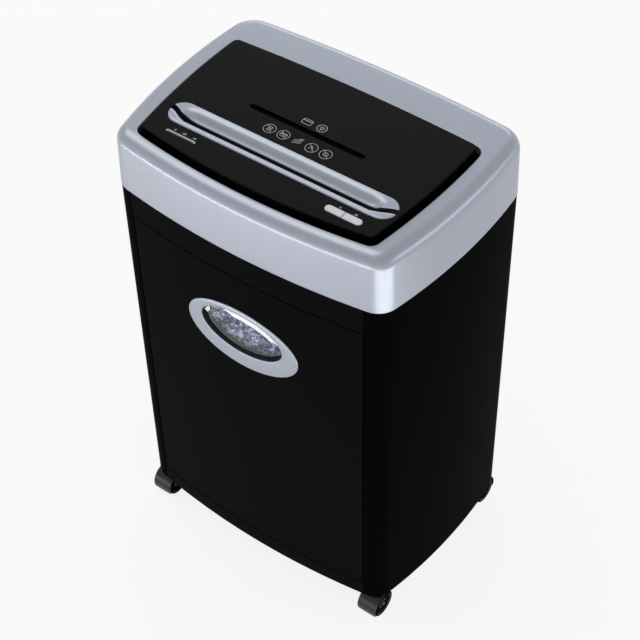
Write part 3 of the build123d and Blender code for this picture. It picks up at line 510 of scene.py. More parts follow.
def bowed_walk(front_half, back_half, front, back, bows, corners, side_steps=20, corner_steps=10):
    """Samples (centre x, centre y, radius, direction) round a plan with four bowed sides."""
    front_sag, side_sag, back_sag = bows
    front_radius, back_radius = bow_radius(front_half, front_sag), bow_radius(back_half, back_sag)
    lean = atan2(back_half - front_half, back - front)
    half_chord = (back - front) / (2 * cos(lean))
    side_radius = bow_radius(half_chord, side_sag)
    reach = side_radius - side_sag
    side_x = (front_half + back_half) / 2 - reach * cos(lean)
    side_y = (front + back) / 2 + reach * sin(lean)
    front_arc = (0.0, front - front_sag + front_radius, front_radius)
    right_arc = (side_x, side_y, side_radius)
    back_arc = (0.0, back + back_sag - back_radius, back_radius)
    left_arc = (-side_x, side_y, side_radius)

    def corner_centre(one, other, radius, near):
        """Where a corner's own arc is centred: inside both long arcs by its radius."""
        span = hypot(other[0] - one[0], other[1] - one[1])
        first, second = one[2] - radius, other[2] - radius
        along = (first**2 - second**2 + span**2) / (2 * span)
        off = sqrt(max(first**2 - along**2, 0.0))
        ux, uy = (other[0] - one[0]) / span, (other[1] - one[1]) / span
        spots = [
            (one[0] + along * ux - side * off * uy, one[1] + along * uy + side * off * ux)
            for side in (-1, 1)
        ]
        return min(spots, key=lambda spot: hypot(spot[0] - near[0], spot[1] - near[1]))

    arcs = [front_arc, right_arc, back_arc, left_arc]
    radii = [corners[0], corners[1], corners[1], corners[0]]
    nears = [(front_half, front), (back_half, back), (-back_half, back), (-front_half, front)]
    centres = [
        corner_centre(arcs[turn], arcs[(turn + 1) % 4], radii[turn], nears[turn])
        for turn in range(4)
    ]
    samples = []
    for turn in range(4):
        arc, following, end = arcs[turn], arcs[(turn + 1) % 4], centres[turn]
        start, stop = toward(arc, centres[turn - 1]), toward(arc, end)
        samples += arc_samples(arc, start, stop, side_steps)
        samples += arc_samples((*end, radii[turn]), stop, toward(following, end), corner_steps)
    return samples


# %% Loops of the plan, and the skin between loops
def plan_loop(samples, inset, z):
    """The walk's points in metres, drawn in by inset mm, at height z mm."""
    return [
        Vector(((x + (r - inset) * cos(a)) * mm, (y + (r - inset) * sin(a)) * mm, z * mm))
        for x, y, r, a in samples
    ]


def blank(name):
    """An empty piece with a bmesh to fill."""
    return new_piece(name), bmesh.new()


def fill(piece, work):
    """Close a bmesh into its piece."""
    bmesh.ops.recalc_face_normals(work, faces=work.faces)
    work.to_mesh(piece.data)
    work.free()


def dots(work, spots):
    """New corners at (x, y, z) places in mm."""
    return [work.verts.new((x * mm, y * mm, z * mm)) for x, y, z in spots]


def knit(work, rows, wrap=False):
    """Quads between neighbouring rows of corners; each row closes on itself."""
    for row in range(len(rows) if wrap else len(rows) - 1):
        here, following = rows[row], rows[(row + 1) % len(rows)]
        for step in range(len(here)):
            after = (step + 1) % len(here)
            work.faces.new((here[step], here[after], following[after], following[step]))


def block(work, near, far):
    """A solid between two outlines with the same number of (x, y, z) places."""
    ends = [dots(work, near), dots(work, far)]
    for end in ends:
        work.faces.new(end)
    knit(work, ends)


def skin(name, loops, closed_ends=False, wrap=False):
    """A piece with quads between loops that have the same number of points."""
    piece, work = blank(name)
    rows = [[work.verts.new(point) for point in loop] for loop in loops]
    knit(work, rows, wrap)
    if closed_ends:
        work.faces.new(rows[0][::-1])
        work.faces.new(rows[-1])
    fill(piece, work)
    return piece


# %% [markdown]
# ## The silver head
# The head is one hollow moulding: a drafted wall, a generous rounding at the top, a flat border,
# and a lip that drops into the moat round the black panel. It is lofted from plan loops, each one
# the walk drawn in by an inset at a height. The rounding needs twelve loops to look like one
# surface, and the lip has a small rounding of its own that carries the bright line round the
# opening. The hole for the cord's gland is drilled last, through the back.

# %% Loft the head
ring_top, head_bottom, top_round, draft_in, wall = 524.0, 461.0, 13.0, 1.4, 3.0
front_half, back_half, front_edge, back_edge, front_sag = 151.5, 161.3, -106.1, 111.8, 13.4
head_walk = bowed_walk(
    front_half, back_half, front_edge, back_edge, (front_sag, 10.5, 7.7), (21.5, 29.5)
)
mouth_walk = bowed_walk(131.7, 141.5, -93.1, 66.4, (11.7, 4.4, 4.5), (9.0, 11.0))
foot, rise_steps, round_steps, lip_steps, lip_round, lip_end = 0.7, 6, 12, 6, 1.3, 7.9
wall_foot, round_start = head_bottom + foot, ring_top - top_round

outer = [(0.5, head_bottom + 0.3), (0.12, head_bottom + 0.12), (0.0, wall_foot)]
for step in range(1, rise_steps + 1):
    rise = step / rise_steps
    outer.append((draft_in * rise, wall_foot + (round_start - head_bottom - foot) * rise))
for step in range(1, round_steps + 1):
    turn = radians(90 * step / round_steps)
    outer.append((draft_in + top_round * (1 - cos(turn)), ring_top - top_round * (1 - sin(turn))))
loops = [plan_loop(head_walk, wall - 0.2, head_bottom)]
loops += [plan_loop(head_walk, inset, z) for inset, z in outer]
border_start, border_end = loops[-1], plan_loop(mouth_walk, -lip_round, ring_top)
for share in (0.25, 0.5, 0.75):
    loops.append([a.lerp(b, share) for a, b in zip(border_start, border_end)])
for step in range(lip_steps + 1):
    turn = radians(90 * step / lip_steps)
    drop = lip_round * (1 - cos(turn))
    loops.append(plan_loop(mouth_walk, -lip_round * (1 - sin(turn)), ring_top - drop))
for walk, inset, drop in (
    (mouth_walk, 0.0, 4.0),
    (mouth_walk, 0.0, lip_end),
    (mouth_walk, -2.0, lip_end),
    (mouth_walk, -2.0, wall),
    (head_walk, draft_in + top_round, wall),
    (head_walk, draft_in + wall, top_round),
):
    loops.append(plan_loop(walk, inset, ring_top - drop))
head = skin("head_shell", loops, wrap=True)

# the hole for the cord gland
gland_low, gland_high = (Vector(corner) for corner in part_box("cord_gland"))
gland_mid = (gland_low + gland_high) / 2
drill, work = blank("gland_drill")
drill_radius, drill_depth = 6.6 * mm, 30 * mm
bmesh.ops.create_cone(
    work, cap_ends=True, segments=48,
    radius1=drill_radius, radius2=drill_radius, depth=drill_depth,
    matrix=Matrix.Translation(gland_mid) @ Matrix.Rotation(radians(90), 4, "X"),
)
fill(drill, work)
cut = head.modifiers.new("gland_hole", "BOOLEAN")
cut.operation = "DIFFERENCE"
cut.object = drill
cut.solver = "EXACT"
bake(head)
bpy.data.objects.remove(drill)
even_shade(head, 38.0)
settle(head, "head_bezel")
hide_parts("head_bezel")
print("head loops", len(loops), "faces", len(head.data.polygons))

# %% [markdown]
# ## The paper throat
# Two silver mouldings meet in an S-shaped line. The front one is a round lip with a lobe at each
# end; the rear one is a trough that guides the sheet down to the slot and rises to a soft rim.
# Both are drawn as ribbons: for each station along the throat there is a front edge, a back edge
# and a height across, so the ends close by themselves where the two edges meet. Plain profiles
# swept along a line would leave open ends at the lobes. The trough's section is given by how
# steep it is from slot to rim, since slopes are what the eye reads in a shiny surface; adding
# them up gives the heights.

# %% Stations along the throat
slot_y, slot_width = -58.6, 5.4
throat_half, throat_front, throat_back = 121.0, 10.2, 18.9
end_radius = (throat_front + throat_back) / 2
middle_y = slot_y - throat_front + end_radius
straight = throat_half - end_radius
groove_start, groove_end_y, groove_width = 100.0, -51.2, 3.4
right_reach, throat_floor = 8.0, 514.0


def rim_y(x, side):
    """The stadium's edge at x: side -1 in front, 1 behind."""
    past = max(abs(x) - straight, 0.0)
    return middle_y + side * sqrt(max(end_radius**2 - past**2, 0.0))


def soft_step(share):
    """0 to 1 with a level start and end."""
    share = min(max(share, 0.0), 1.0)
    return share * share * (3 - 2 * share)


def slot_side(x, side):
    """A side of the slot, which narrows beyond its ends to a groove that turns back."""
    past = (abs(x) - groove_start) / (throat_half - groove_start)
    centre = slot_y + (groove_end_y - slot_y) * soft_step(past)
    width = slot_width + (groove_width - slot_width) * soft_step(3.2 * past)
    return centre + side * width / 2


def stations(half, inner_steps=30, end_steps=30):
    """Places along X, close together at the round ends."""
    flat = [-straight + 2 * straight * step / inner_steps for step in range(inner_steps + 1)]
    turns = [pi / 2 * step / end_steps for step in range(1, end_steps + 1)]
    tail = [straight + (half - straight) * sin(turn) for turn in turns]
    return [-x for x in reversed(tail)] + flat + tail


def ribbon(name, xs, front_at, back_at, height_at, floor, across_steps=22, foot=0.0):
    """A closed block whose top follows height_at(x, y, front, back); its front wall can lean."""
    loops = []
    for x in xs:
        place = x + max(x, 0.0) * right_reach / throat_half
        front, back = front_at(x), max(back_at(x), front_at(x) + 0.02)
        top = []
        for step in range(across_steps + 1):
            share = 0.5 - 0.5 * cos(pi * step / across_steps)
            y = front + (back - front) * share
            top.append(Vector((place, y, height_at(x, y, front, back))) * mm)
        lean = min(foot, max(front - slot_side(x, 1), 0.0))
        feet = [Vector((place, y, floor)) * mm for y in (front - lean, back)]
        loops.append([feet[0]] + top + [feet[1]])
    piece = skin(name, loops, closed_ends=True)
    smooth(piece.data, 50.0)
    return piece


def paint_slot_shade(piece):
    """The walls that drop to the throat's floor take inner black: painted shade down in the slot.
    """
    places, reach = piece.data.vertices, (throat_floor + 1.0) * mm
    second_finish(
        piece,
        finishes["inner_black"],
        lambda face: min(places[corner].co.z for corner in face.vertices) < reach,
    )


def round_off(distance, radius):
    """How far a surface has dropped at a distance from an edge of that radius."""
    if distance >= radius:
        return 0.0
    return radius - sqrt(max(radius**2 - (radius - max(distance, 0.0)) ** 2, 0.0))


# %% The front lip
def lip_height(x, y, front, back):
    """A round bar between the panel and the slot."""
    end = throat_half - abs(x)
    return 531.15 - round_off(y - front, 2.8) - round_off(back - y, 5.0) - round_off(end, 2.0) * 0.4


front_lip = ribbon(
    "throat_lip",
    stations(throat_half - 0.06),
    lambda x: rim_y(x, -1),
    lambda x: min(slot_side(x, -1), rim_y(x, 1)),
    lip_height,
    throat_floor,
)
settle(front_lip, "front_throat_guide")
# painted shade: the lip's walls down into the slot are inner black
paint_slot_shade(front_lip)
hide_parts("front_throat_guide")

# %% The rear trough
trough_rim, trough_depth, mouth_ease = 531.15, 8.4, 3.6
tilts = (  # share of the width behind the slot, slope in degrees
    (0.0, 44), (0.1, 38), (0.2, 44), (0.3, 58), (0.43, 58),
    (0.51, 47), (0.61, 33), (0.71, 23), (0.89, 12), (1.0, 5),
)


def climb_to(share, steps=60):
    """How far the trough's section has climbed at a share of its width: its slopes added up."""
    total, climbed = 0.0, 0.0
    for step in range(steps):
        spot = (step + 0.5) / steps
        pairs = zip(tilts, tilts[1:])
        (near, low), (far, high) = next(pair for pair in pairs if spot <= pair[1][0])
        slope = tan(radians(low + (high - low) * (spot - near) / (far - near)))
        total += slope
        climbed += slope * min(max(share * steps - step, 0.0), 1.0)
    return climbed / total


def trough_front(x):
    """The trough's edge at the slot; it stands back, and its wall below is inner black as painted
    shade.
    """
    past = (abs(x) - groove_start) / (throat_half - groove_start)
    return max(slot_side(x, 1) + mouth_ease * (1 - soft_step(2.4 * past)), rim_y(x, -1))


def trough_height(x, y, front, back):
    """A narrow ledge at the slot, a steep slope, then a broad soft rim."""
    climb = climb_to((y - front) / max(back - front, 0.01))
    past_end = soft_step((abs(x) - 97.0) / 11.0)
    low = trough_rim - trough_depth * (1 - climb) * (1 - past_end)
    end = throat_half - abs(x)
    return low - round_off(back - y, 1.0) - round_off(y - front, 0.5) - round_off(end, 2.0) * 0.3


rear_trough = ribbon(
    "throat_trough",
    stations(throat_half - 0.06),
    trough_front,
    lambda x: rim_y(x, 1),
    trough_height,
    throat_floor,
    36,
    mouth_ease,
)
settle(rear_trough, "rear_throat_guide")
# painted shade: the trough's walls down into the slot are inner black
paint_slot_shade(rear_trough)
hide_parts("rear_throat_guide")
print("throat faces", len(front_lip.data.polygons), len(rear_trough.data.polygons))

# %% [markdown]
# ## Marks on the panel
# The panel carries small printed marks: outlines of the things the machine takes, a fine scale
# under the light strip, and a dash for each button. A print is a film of ink with a thickness, so
# each mark is a very thin closed shape on the surface. They are plain signs, with no words.

# %% Thin shapes for marks
def band(work, inner, outer, low, high):
    """A closed flat band between two outlines of (x, y) points in mm."""
    levels = ((inner, low), (inner, high), (outer, high), (outer, low))
    rows = [dots(work, [(x, y, z) for x, y in outline]) for outline, z in levels]
    knit(work, rows, wrap=True)


def oval_points(x, y, half_x, half_y, steps=32, power=2.0):
    """An oval; a higher power makes it squarer."""
    points = []
    for step in range(steps):
        a = 2 * pi * step / steps
        c, s = cos(a), sin(a)
        points.append((
            x + half_x * abs(c) ** (2 / power) * (1 if c >= 0 else -1),
            y + half_y * abs(s) ** (2 / power) * (1 if s >= 0 else -1),
        ))
    return points


def hoop(work, x, y, half_x, half_y, line, low, high, steps=32, power=2.0):
    """An outline of a given line width."""
    outer = oval_points(x, y, half_x, half_y, steps, power)
    inner = oval_points(x, y, half_x - line, half_y - line, steps, power)
    band(work, inner, outer, low, high)


def bar(work, x, y, length, width, turn, low, high):
    """A small straight bar, turned by degrees."""
    ux, uy = cos(radians(turn)), sin(radians(turn))
    corners = []
    for along, across in ((-1, -1), (1, -1), (1, 1), (-1, 1)):
        a, b = along * length / 2, across * width / 2
        corners.append((x + a * ux - b * uy, y + a * uy + b * ux))
    block(work, [(*spot, low) for spot in corners], [(*spot, high) for spot in corners])


# %% Signs round the disc slot
panel_top, ink = 530.0, 0.5
film = (panel_top - 0.02, panel_top + 0.05)
signs, work = blank("panel_signs")
sign_x, sign_y, sign_pitch, sign_radius = 2.1, -26.0, 15.6, 6.2
sheet_x, card_x, stack_x, fold_x, round_x = (sign_x + place * sign_pitch for place in range(-2, 3))
for x in (sheet_x, card_x, fold_x, round_x):
    hoop(work, x, sign_y, sign_radius, sign_radius, ink, *film, 40)
    bar(work, x, sign_y, 2 * sign_radius - 0.6, ink, -45, *film)
# a lined sheet, a card with its stripe, a stack of sheets, a folded sheet, a small disc
hoop(work, sheet_x, sign_y, 2.2, 3.0, ink, *film, 24, 8.0)
for line in (-1.1, 0.0, 1.1):
    bar(work, sheet_x, sign_y + line, 2.4, 0.4, 0, *film)
hoop(work, card_x, sign_y, 3.6, 2.3, ink, *film, 24, 6.0)
bar(work, card_x, sign_y + 0.8, 6.2, 0.7, 0, *film)
for step in range(3):
    bar(work, stack_x, sign_y - 2.4 + 2.2 * step, 8.6, 0.55, 20, *film)
bar(work, stack_x + 1.5, sign_y + 4.2, 5.0, 0.55, 20, *film)
bar(work, fold_x - 1.3, sign_y, 5.4, ink, 62, *film)
bar(work, fold_x + 1.3, sign_y, 5.4, ink, 118, *film)
hoop(work, round_x, sign_y, 2.6, 2.6, ink, *film, 28)
bar(work, round_x, sign_y, 1.2, 1.2, 45, *film)
# behind the slot, what goes in it: a card and a disc
upper_y, plate_x, disc_x = 0.9, -6.7, 9.6
hoop(work, plate_x, upper_y, 5.4, 3.6, ink, *film, 28, 5.0)
bar(work, plate_x, upper_y + 1.2, 9.6, 0.8, 0, *film)
hoop(work, disc_x, upper_y, 5.2, 5.2, ink, *film, 40)
hoop(work, disc_x, upper_y, 1.9, 1.9, 0.7, *film, 24)
for turn in range(0, 360, 45):
    c, s = cos(radians(turn)), sin(radians(turn))
    bar(work, disc_x + 3.6 * c, upper_y + 3.6 * s, 1.0, 0.4, turn, *film)
# a fine dash for each key, and three over the light strip
key_dashes = ((84.5, -74.8, 2.2), (101.0, -74.8, 3.2))
strip_dashes = ((-97.5, -76.6, 2.0), (-87.0, -76.6, 4.4), (-75.5, -76.6, 3.4))
for x, y, dash in key_dashes + strip_dashes:
    bar(work, x, y, dash, 0.8, 0, *film)
    bar(work, x + 0.4, y + 1.2, dash * 0.6, 0.4, 0, *film)
fill(signs, work)
settle(signs, "indicator_lens", finishes["printed_mark"])

# %% Scale on the light strip
strip_x, strip_y, strip_top = -87.5, -81.0, 530.4
base, rim, tick = strip_top - 0.05, strip_top + 0.06, strip_top + 0.05
scale, work = blank("strip_scale")
bar(work, strip_x, strip_y + 1.0, 33.0, 0.8, 0, base, rim)
for step in range(17):
    bar(work, strip_x - 15.2 + 1.9 * step, strip_y - 0.1, 0.55, 1.5, 0, base, tick)
for end in (-1, 1):
    bar(work, strip_x + end * 15.9, strip_y, 1.2, 2.6, 0, base, rim)
fill(scale, work)
settle(scale, "indicator_lens", finishes["bright_mark"])
print("marks", len(signs.data.polygons) + len(scale.data.polygons))

# %% [markdown]
# ## The window
# The bin's oval window is a broad silver ring round a clear dome. The ring follows the bow of the
# bin front, so each of its points takes its depth from the same arc as the housing. The opening
# sits a little higher than the ring, which leaves the ring widest below. Behind it a straight
# neck runs back to where the dome is held; it wears inner black as painted shade. Two pale strips
# lie along the dome's edge as a painted reflection of the room's light.

# %% Depth on the bowed front
front_bow_radius = bow_radius(front_half, front_sag)
front_bow_centre = front_edge - front_sag + front_bow_radius


def front_y(x, inset):
    """The depth of the housing's front at x, drawn in by inset."""
    return front_bow_centre - sqrt((front_bow_radius - inset) ** 2 - x * x)


def window_loop(half_x, half_z, centre_z, inset, steps=96):
    """An oval that lies on the bowed front at a given inset."""
    loop = []
    for step in range(steps):
        a = 2 * pi * step / steps
        x = half_x * cos(a)
        loop.append(Vector((x * mm, front_y(x, inset) * mm, (centre_z + half_z * sin(a)) * mm)))
    return loop


# %% The silver ring
def larger(half, grow):
    """The two half lengths of an oval, grown all round."""
    return half[0] + grow, half[1] + grow


ring_z, hole_z = 352.4, 358.6
ring_half, hole_half = (65.0, 37.0), (47.6, 25.2)
seat_half, seat_z = (60.9, 34.1), 354.0
outer_round, inner_round, crown_depth, round_steps = 1.2, 0.6, 0.35, 5
face_inset, foot_inset, neck_inset = -0.9, 0.3, 8.8
face_start = larger(ring_half, -outer_round)
face_end = larger(hole_half, inner_round)
ring_loops = [window_loop(*larger(ring_half, -4.0), ring_z, foot_inset)]
turns = [radians(90 * step / round_steps) for step in range(round_steps + 1)]
for turn in turns:
    lift = (foot_inset - 0.2 - face_inset) * sin(turn)
    edge = larger(ring_half, -outer_round * (1 - cos(turn)))
    ring_loops.append(window_loop(*edge, ring_z, foot_inset - 0.2 - lift))
for share in (0.25, 0.5, 0.75, 0.95):
    half = [near + (far - near) * share for near, far in zip(face_start, face_end)]
    crown = -crown_depth * sin(pi * share)
    ring_loops.append(window_loop(*half, ring_z + (hole_z - ring_z) * share, face_inset + crown))
for turn in turns[1:]:
    edge = larger(hole_half, inner_round * (1 - sin(turn)))
    ring_loops.append(window_loop(*edge, hole_z, face_inset + inner_round * (1 - cos(turn))))
for half, z, inset in (
    (hole_half, hole_z, 3.0),
    (larger(hole_half, -0.2), hole_z, neck_inset),
    (seat_half, seat_z, neck_inset),
    (seat_half, seat_z, foot_inset + 0.1),
):
    ring_loops.append(window_loop(*half, z, inset))
window_ring = skin("window_ring", ring_loops, wrap=True)
smooth(window_ring.data, 40.0)
settle(window_ring, "window_bezel")
# painted shade: the neck behind the ring's rounded edge wears inner black
painted_shade_start = 1.2
second_finish(
    window_ring,
    finishes["inner_black"],
    lambda face: face.center.y > front_y(face.center.x / mm, painted_shade_start) * mm,
)
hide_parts("window_bezel")

# %% The clear dome
dome_half = larger(hole_half, -0.3)
dome_rise = dome_edge = 5.6
side_steps, side_reach, side_share = 12, 0.30, 0.85
dome_loops = [window_loop(*dome_half, hole_z, 6.6)]
rings = []  # share of the oval's size, share of the dome's rise
for step in range(side_steps):
    turn = radians(90 * step / side_steps)
    rings.append((1 - side_reach * (1 - cos(turn)), side_share * sin(turn)))
rings.append((1 - side_reach, side_share))
for shrink in (0.5, 0.3, 0.12):
    rings.append((shrink, 1 - (1 - side_share) * (shrink / (1 - side_reach)) ** 2))
for shrink, rise in rings:
    half = [length * shrink for length in dome_half]
    dome_loops.append(window_loop(*half, hole_z, dome_edge - dome_rise * rise))
dome = skin("window_dome", dome_loops, closed_ends=True)
smooth(dome.data, 60.0)
settle(dome, "window_lens")
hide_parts("window_lens")

# %% Its painted reflection
def crescent(name, first, last, reach, inset_out, inset_in, steps=40):
    """A tapered pale strip along the dome's edge between two angles in degrees: a painted
    reflection.
    """
    least, thick = 0.02, 0.25
    loops = []
    for step in range(steps + 1):
        share = step / steps
        a = radians(first + (last - first) * share)
        width = reach * min(1.0, 5.0 * share, 5.0 * (1 - share)) + least
        loop = []
        for part, lift in ((0, 0.0), (1, 0.0), (1, thick), (0, thick)):
            inward = 1.0 + part * width
            x = (dome_half[0] - inward) * cos(a)
            z = hole_z + (dome_half[1] - inward) * sin(a)
            inset = inset_out + (inset_in - inset_out) * part * width / (reach + least)
            loop.append(Vector((x * mm, front_y(x, inset - lift) * mm, z * mm)))
        loops.append(loop)
    return skin(name, loops, closed_ends=True)


# painted reflection: two pale strips along the dome's upper and left edge
for number, (first, last, reach) in enumerate(((12.0, 124.0, 5.6), (147.0, 171.0, 4.4))):
    facet = crescent(f"dome_painted_glint_{number}", first, last, reach, 2.2, 0.6)
    smooth(facet.data, 30.0)
    settle(facet, "window_lens", finishes["painted_reflection"])

# %% [markdown]
# ## Cut paper
# The bin is nearly full of small crumpled strips. A heap body with a bumpy skin keeps the light
# from falling through, and three thousand curled strips lie on it where they can be seen: behind
# the window and over the top. Each strip is a thin closed ribbon, bent and twisted by its own
# seeded random numbers, so the heap is the same in every run.

# %% Heap body
heap_low, heap_high = (Vector(corner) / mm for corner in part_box("paper_shreds"))
print("heap box", [round(v) for v in heap_low], [round(v) for v in heap_high])
fall_start, fall_length, fall = -20.0, 259.0, 90.0


def heap_top(y):
    """The heap's height: level in front and falling towards the back."""
    return heap_high.z - max(y - fall_start, 0.0) * (fall / fall_length)


heap_side, heap_back = heap_high.x - 0.5, heap_high.y - 0.5
grid_x, grid_y = 44, 34
chance = random.Random(7)
ripple = [
    (chance.uniform(0.03, 0.16), chance.uniform(0.03, 0.16), chance.uniform(0, 6.3))
    for wave in range(7)
]


def bumps(x, y):
    """A rough height that is the same at the same place."""
    return sum(sin(a * x * 2 + c) * cos(b * y * 2 + c) for a, b, c in ripple) / len(ripple)


skin_drop, bump_height, front_gap = 4.0, 5.0, 11.6


def heap_skin(x, y, share=1.0):
    """The height of the heap's skin, with all or a share of its bumps."""
    return heap_top(y) - skin_drop + bumps(x, y) * bump_height * share


heap, work = blank("paper_heap")
tops, bottoms = [], []
for row in range(grid_y + 1):
    spots = []
    for column in range(grid_x + 1):
        x = -heap_side + 2 * heap_side * column / grid_x
        front_edge = front_y(x, front_gap)
        y = front_edge + (heap_back - front_edge) * row / grid_y
        across, along = column / grid_x, row / grid_y
        edge = min(1.0, 4 * along, 4 * (1 - along), 4 * across, 4 * (1 - across))
        spots += [(x, y, heap_skin(x, y, edge)), (x, y, heap_low.z + 0.3)]
    corners = dots(work, spots)
    tops.append(corners[0::2])
    bottoms.append(corners[1::2])
for row in range(grid_y):
    for column in range(grid_x):
        for rows in (tops, bottoms):
            near, far = rows[row][column : column + 2], rows[row + 1][column : column + 2]
            work.faces.new((*near, *reversed(far)))
rim = [(0, column) for column in range(grid_x + 1)]
rim += [(row, grid_x) for row in range(1, grid_y + 1)]
rim += [(grid_y, column) for column in range(grid_x - 1, -1, -1)]
rim += [(row, 0) for row in range(grid_y - 1, 0, -1)]
upper, lower = ([rows[row][column] for row, column in rim] for rows in (tops, bottoms))
knit(work, [upper, lower])
fill(heap, work)
smooth(heap.data, 60.0)
# painted shade: the heap body wears the darkened paper
settle(heap, "paper_shreds", finishes["shadowed_paper"])
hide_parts("paper_shreds")

# %% Curled strips
strips, work = blank("paper_strips")


def strip(work, centre, flat, length, width, curl, twist, heading):
    """A thin curled ribbon: flat is the surface's outward direction at its middle."""
    side = flat.orthogonal().normalized()
    side.rotate(Matrix.Rotation(heading, 3, flat))
    across = flat.cross(side).normalized()
    bends, half_thick = 5, 0.12
    rows = []
    for step in range(bends + 1):
        share = step / bends - 0.5
        angle = curl * share
        along = side * (length * sin(angle) / curl) + flat * (length * (1 - cos(angle)) / curl * -1)
        lean = Matrix.Rotation(twist * share, 3, side)
        wide = lean @ across * (width / 2)
        up = lean @ flat * half_thick
        middle = centre + along
        rows.append([
            work.verts.new((middle + offset) * mm)
            for offset in (wide + up, -wide + up, -wide - up, wide - up)
        ])
    knit(work, rows)
    work.faces.new(rows[0])
    work.faces.new(rows[-1])


def crumple(centre, flat, near):
    """One strip with its own random bend."""
    lean = Vector((chance.uniform(-1, 1), chance.uniform(-1, 1), chance.uniform(-1, 1))) * near
    strip(
        work,
        centre,
        (flat + lean).normalized(),
        chance.uniform(5.0, 12.0),
        chance.uniform(1.3, 2.4),
        chance.choice((-1, 1)) * chance.uniform(0.6, 2.6),
        chance.uniform(-1.6, 1.6),
        chance.uniform(0, 2 * pi),
    )


window_depth, depth_spread, pile_gap = 12.8, 2.2, 20.0
for count in range(1500):  # behind the window
    a, r = chance.uniform(0, 2 * pi), sqrt(chance.uniform(0, 1))
    x, z = 50.0 * r * cos(a), 347.0 + 30.0 * r * sin(a)
    if z > heap_high.z - 3:
        continue
    depth = window_depth + chance.uniform(-depth_spread, depth_spread)
    crumple(Vector((x, front_y(x, depth), z)), Vector((0, -1, 0)), 0.75)
for count in range(1500):  # over the top, thicker towards the front
    x = chance.uniform(-heap_side + 10, heap_side - 10)
    pile_front = front_y(x, pile_gap)
    y = pile_front + (heap_back - 9 - pile_front) * chance.uniform(0, 1) ** 1.25
    z = heap_skin(x, y) + chance.uniform(0.3, 2.2)
    crumple(Vector((x, y, z)), Vector((0, -0.15, 1)), 0.5)
for count in range(260):  # along the front brow of the heap
    x = chance.uniform(-52, 52)
    depth = chance.uniform(14.0, 22.0)
    z = heap_high.z - 2.0 + chance.uniform(-2, 1.5)
    crumple(Vector((x, front_y(x, depth), z)), Vector((0, -0.7, 0.7)), 0.6)
fill(strips, work)
smooth(strips.data, 50.0)
settle(strips, "paper_shreds", finishes["shredded_paper"])
print("strip faces", len(strips.data.polygons))

# %% [markdown]
# ## Casters
# Each caster is a pair of hard wheels on one axle, with a hood between and over them. A lathe
# profile gives the wheels their tread, dished face and hub; the tread has a soft shine and the
# cheeks are dull. The hood is a curved band with rounded sides, joined to a web that carries the
# axle and the stem.

# %% Turned shapes
def turned(work, profile, x, y, z, steps=48):
    """A closed ring about an axle along X; profile holds (distance along, radius)."""
    rows = []
    for step in range(steps):
        a = 2 * pi * step / steps
        up, over = cos(a), sin(a)
        rows.append(dots(work, [(x + along, y + r * up, z + r * over) for along, r in profile]))
    knit(work, rows, wrap=True)


def circle(x, y, z, radius, steps=32):
    """Places round a level circle."""
    turns = [2 * pi * step / steps for step in range(steps)]
    return [(x + radius * cos(a), y + radius * sin(a), z) for a in turns]


# %% Build the four casters
web, pin_gap, trail, collar_drop, cheek = 4.0, 0.4, 10.0, 13.0, 0.75
hood_edge, hood_side, hood_corner = 11.5, 16.35, (1.6, 0.6)
hood_shoulder = ((-6.0, 17.12), (0.0, 17.2))
hood_shape = [(-hood_edge, 15.95), (-hood_edge, hood_side)]
for step in range(1, 5):
    turn = radians(90 * step / 4)
    along = -hood_edge + hood_corner[0] * (1 - cos(turn))
    hood_shape.append((along, hood_side + hood_corner[1] * sin(turn)))
hood_shape += hood_shoulder
hood_shape += [(-along, r) for along, r in reversed(hood_shape[:-1])]
hood_start, hood_stop, hood_steps = radians(68.8), radians(201.2), 36
web_start, web_stop, web_steps, web_radius = radians(66.0), radians(199.0), 24, 16.2
wheel_shape = [  # distance out along the axle, radius
    (0.0, 2.1), (0.0, 5.2), (0.7, 5.8), (0.7, 11.9), (0.0, 12.6), (0.0, 14.4), (0.35, 15.1),
    (1.2, 15.5), (3.9, 15.5), (4.1, 15.2), (4.7, 15.2), (4.9, 15.5), (7.6, 15.5), (8.4, 15.1),
    (8.8, 14.4), (8.8, 12.6), (7.7, 11.9), (7.4, 5.8), (8.3, 5.0), (8.5, 4.2), (8.5, 2.1),
]
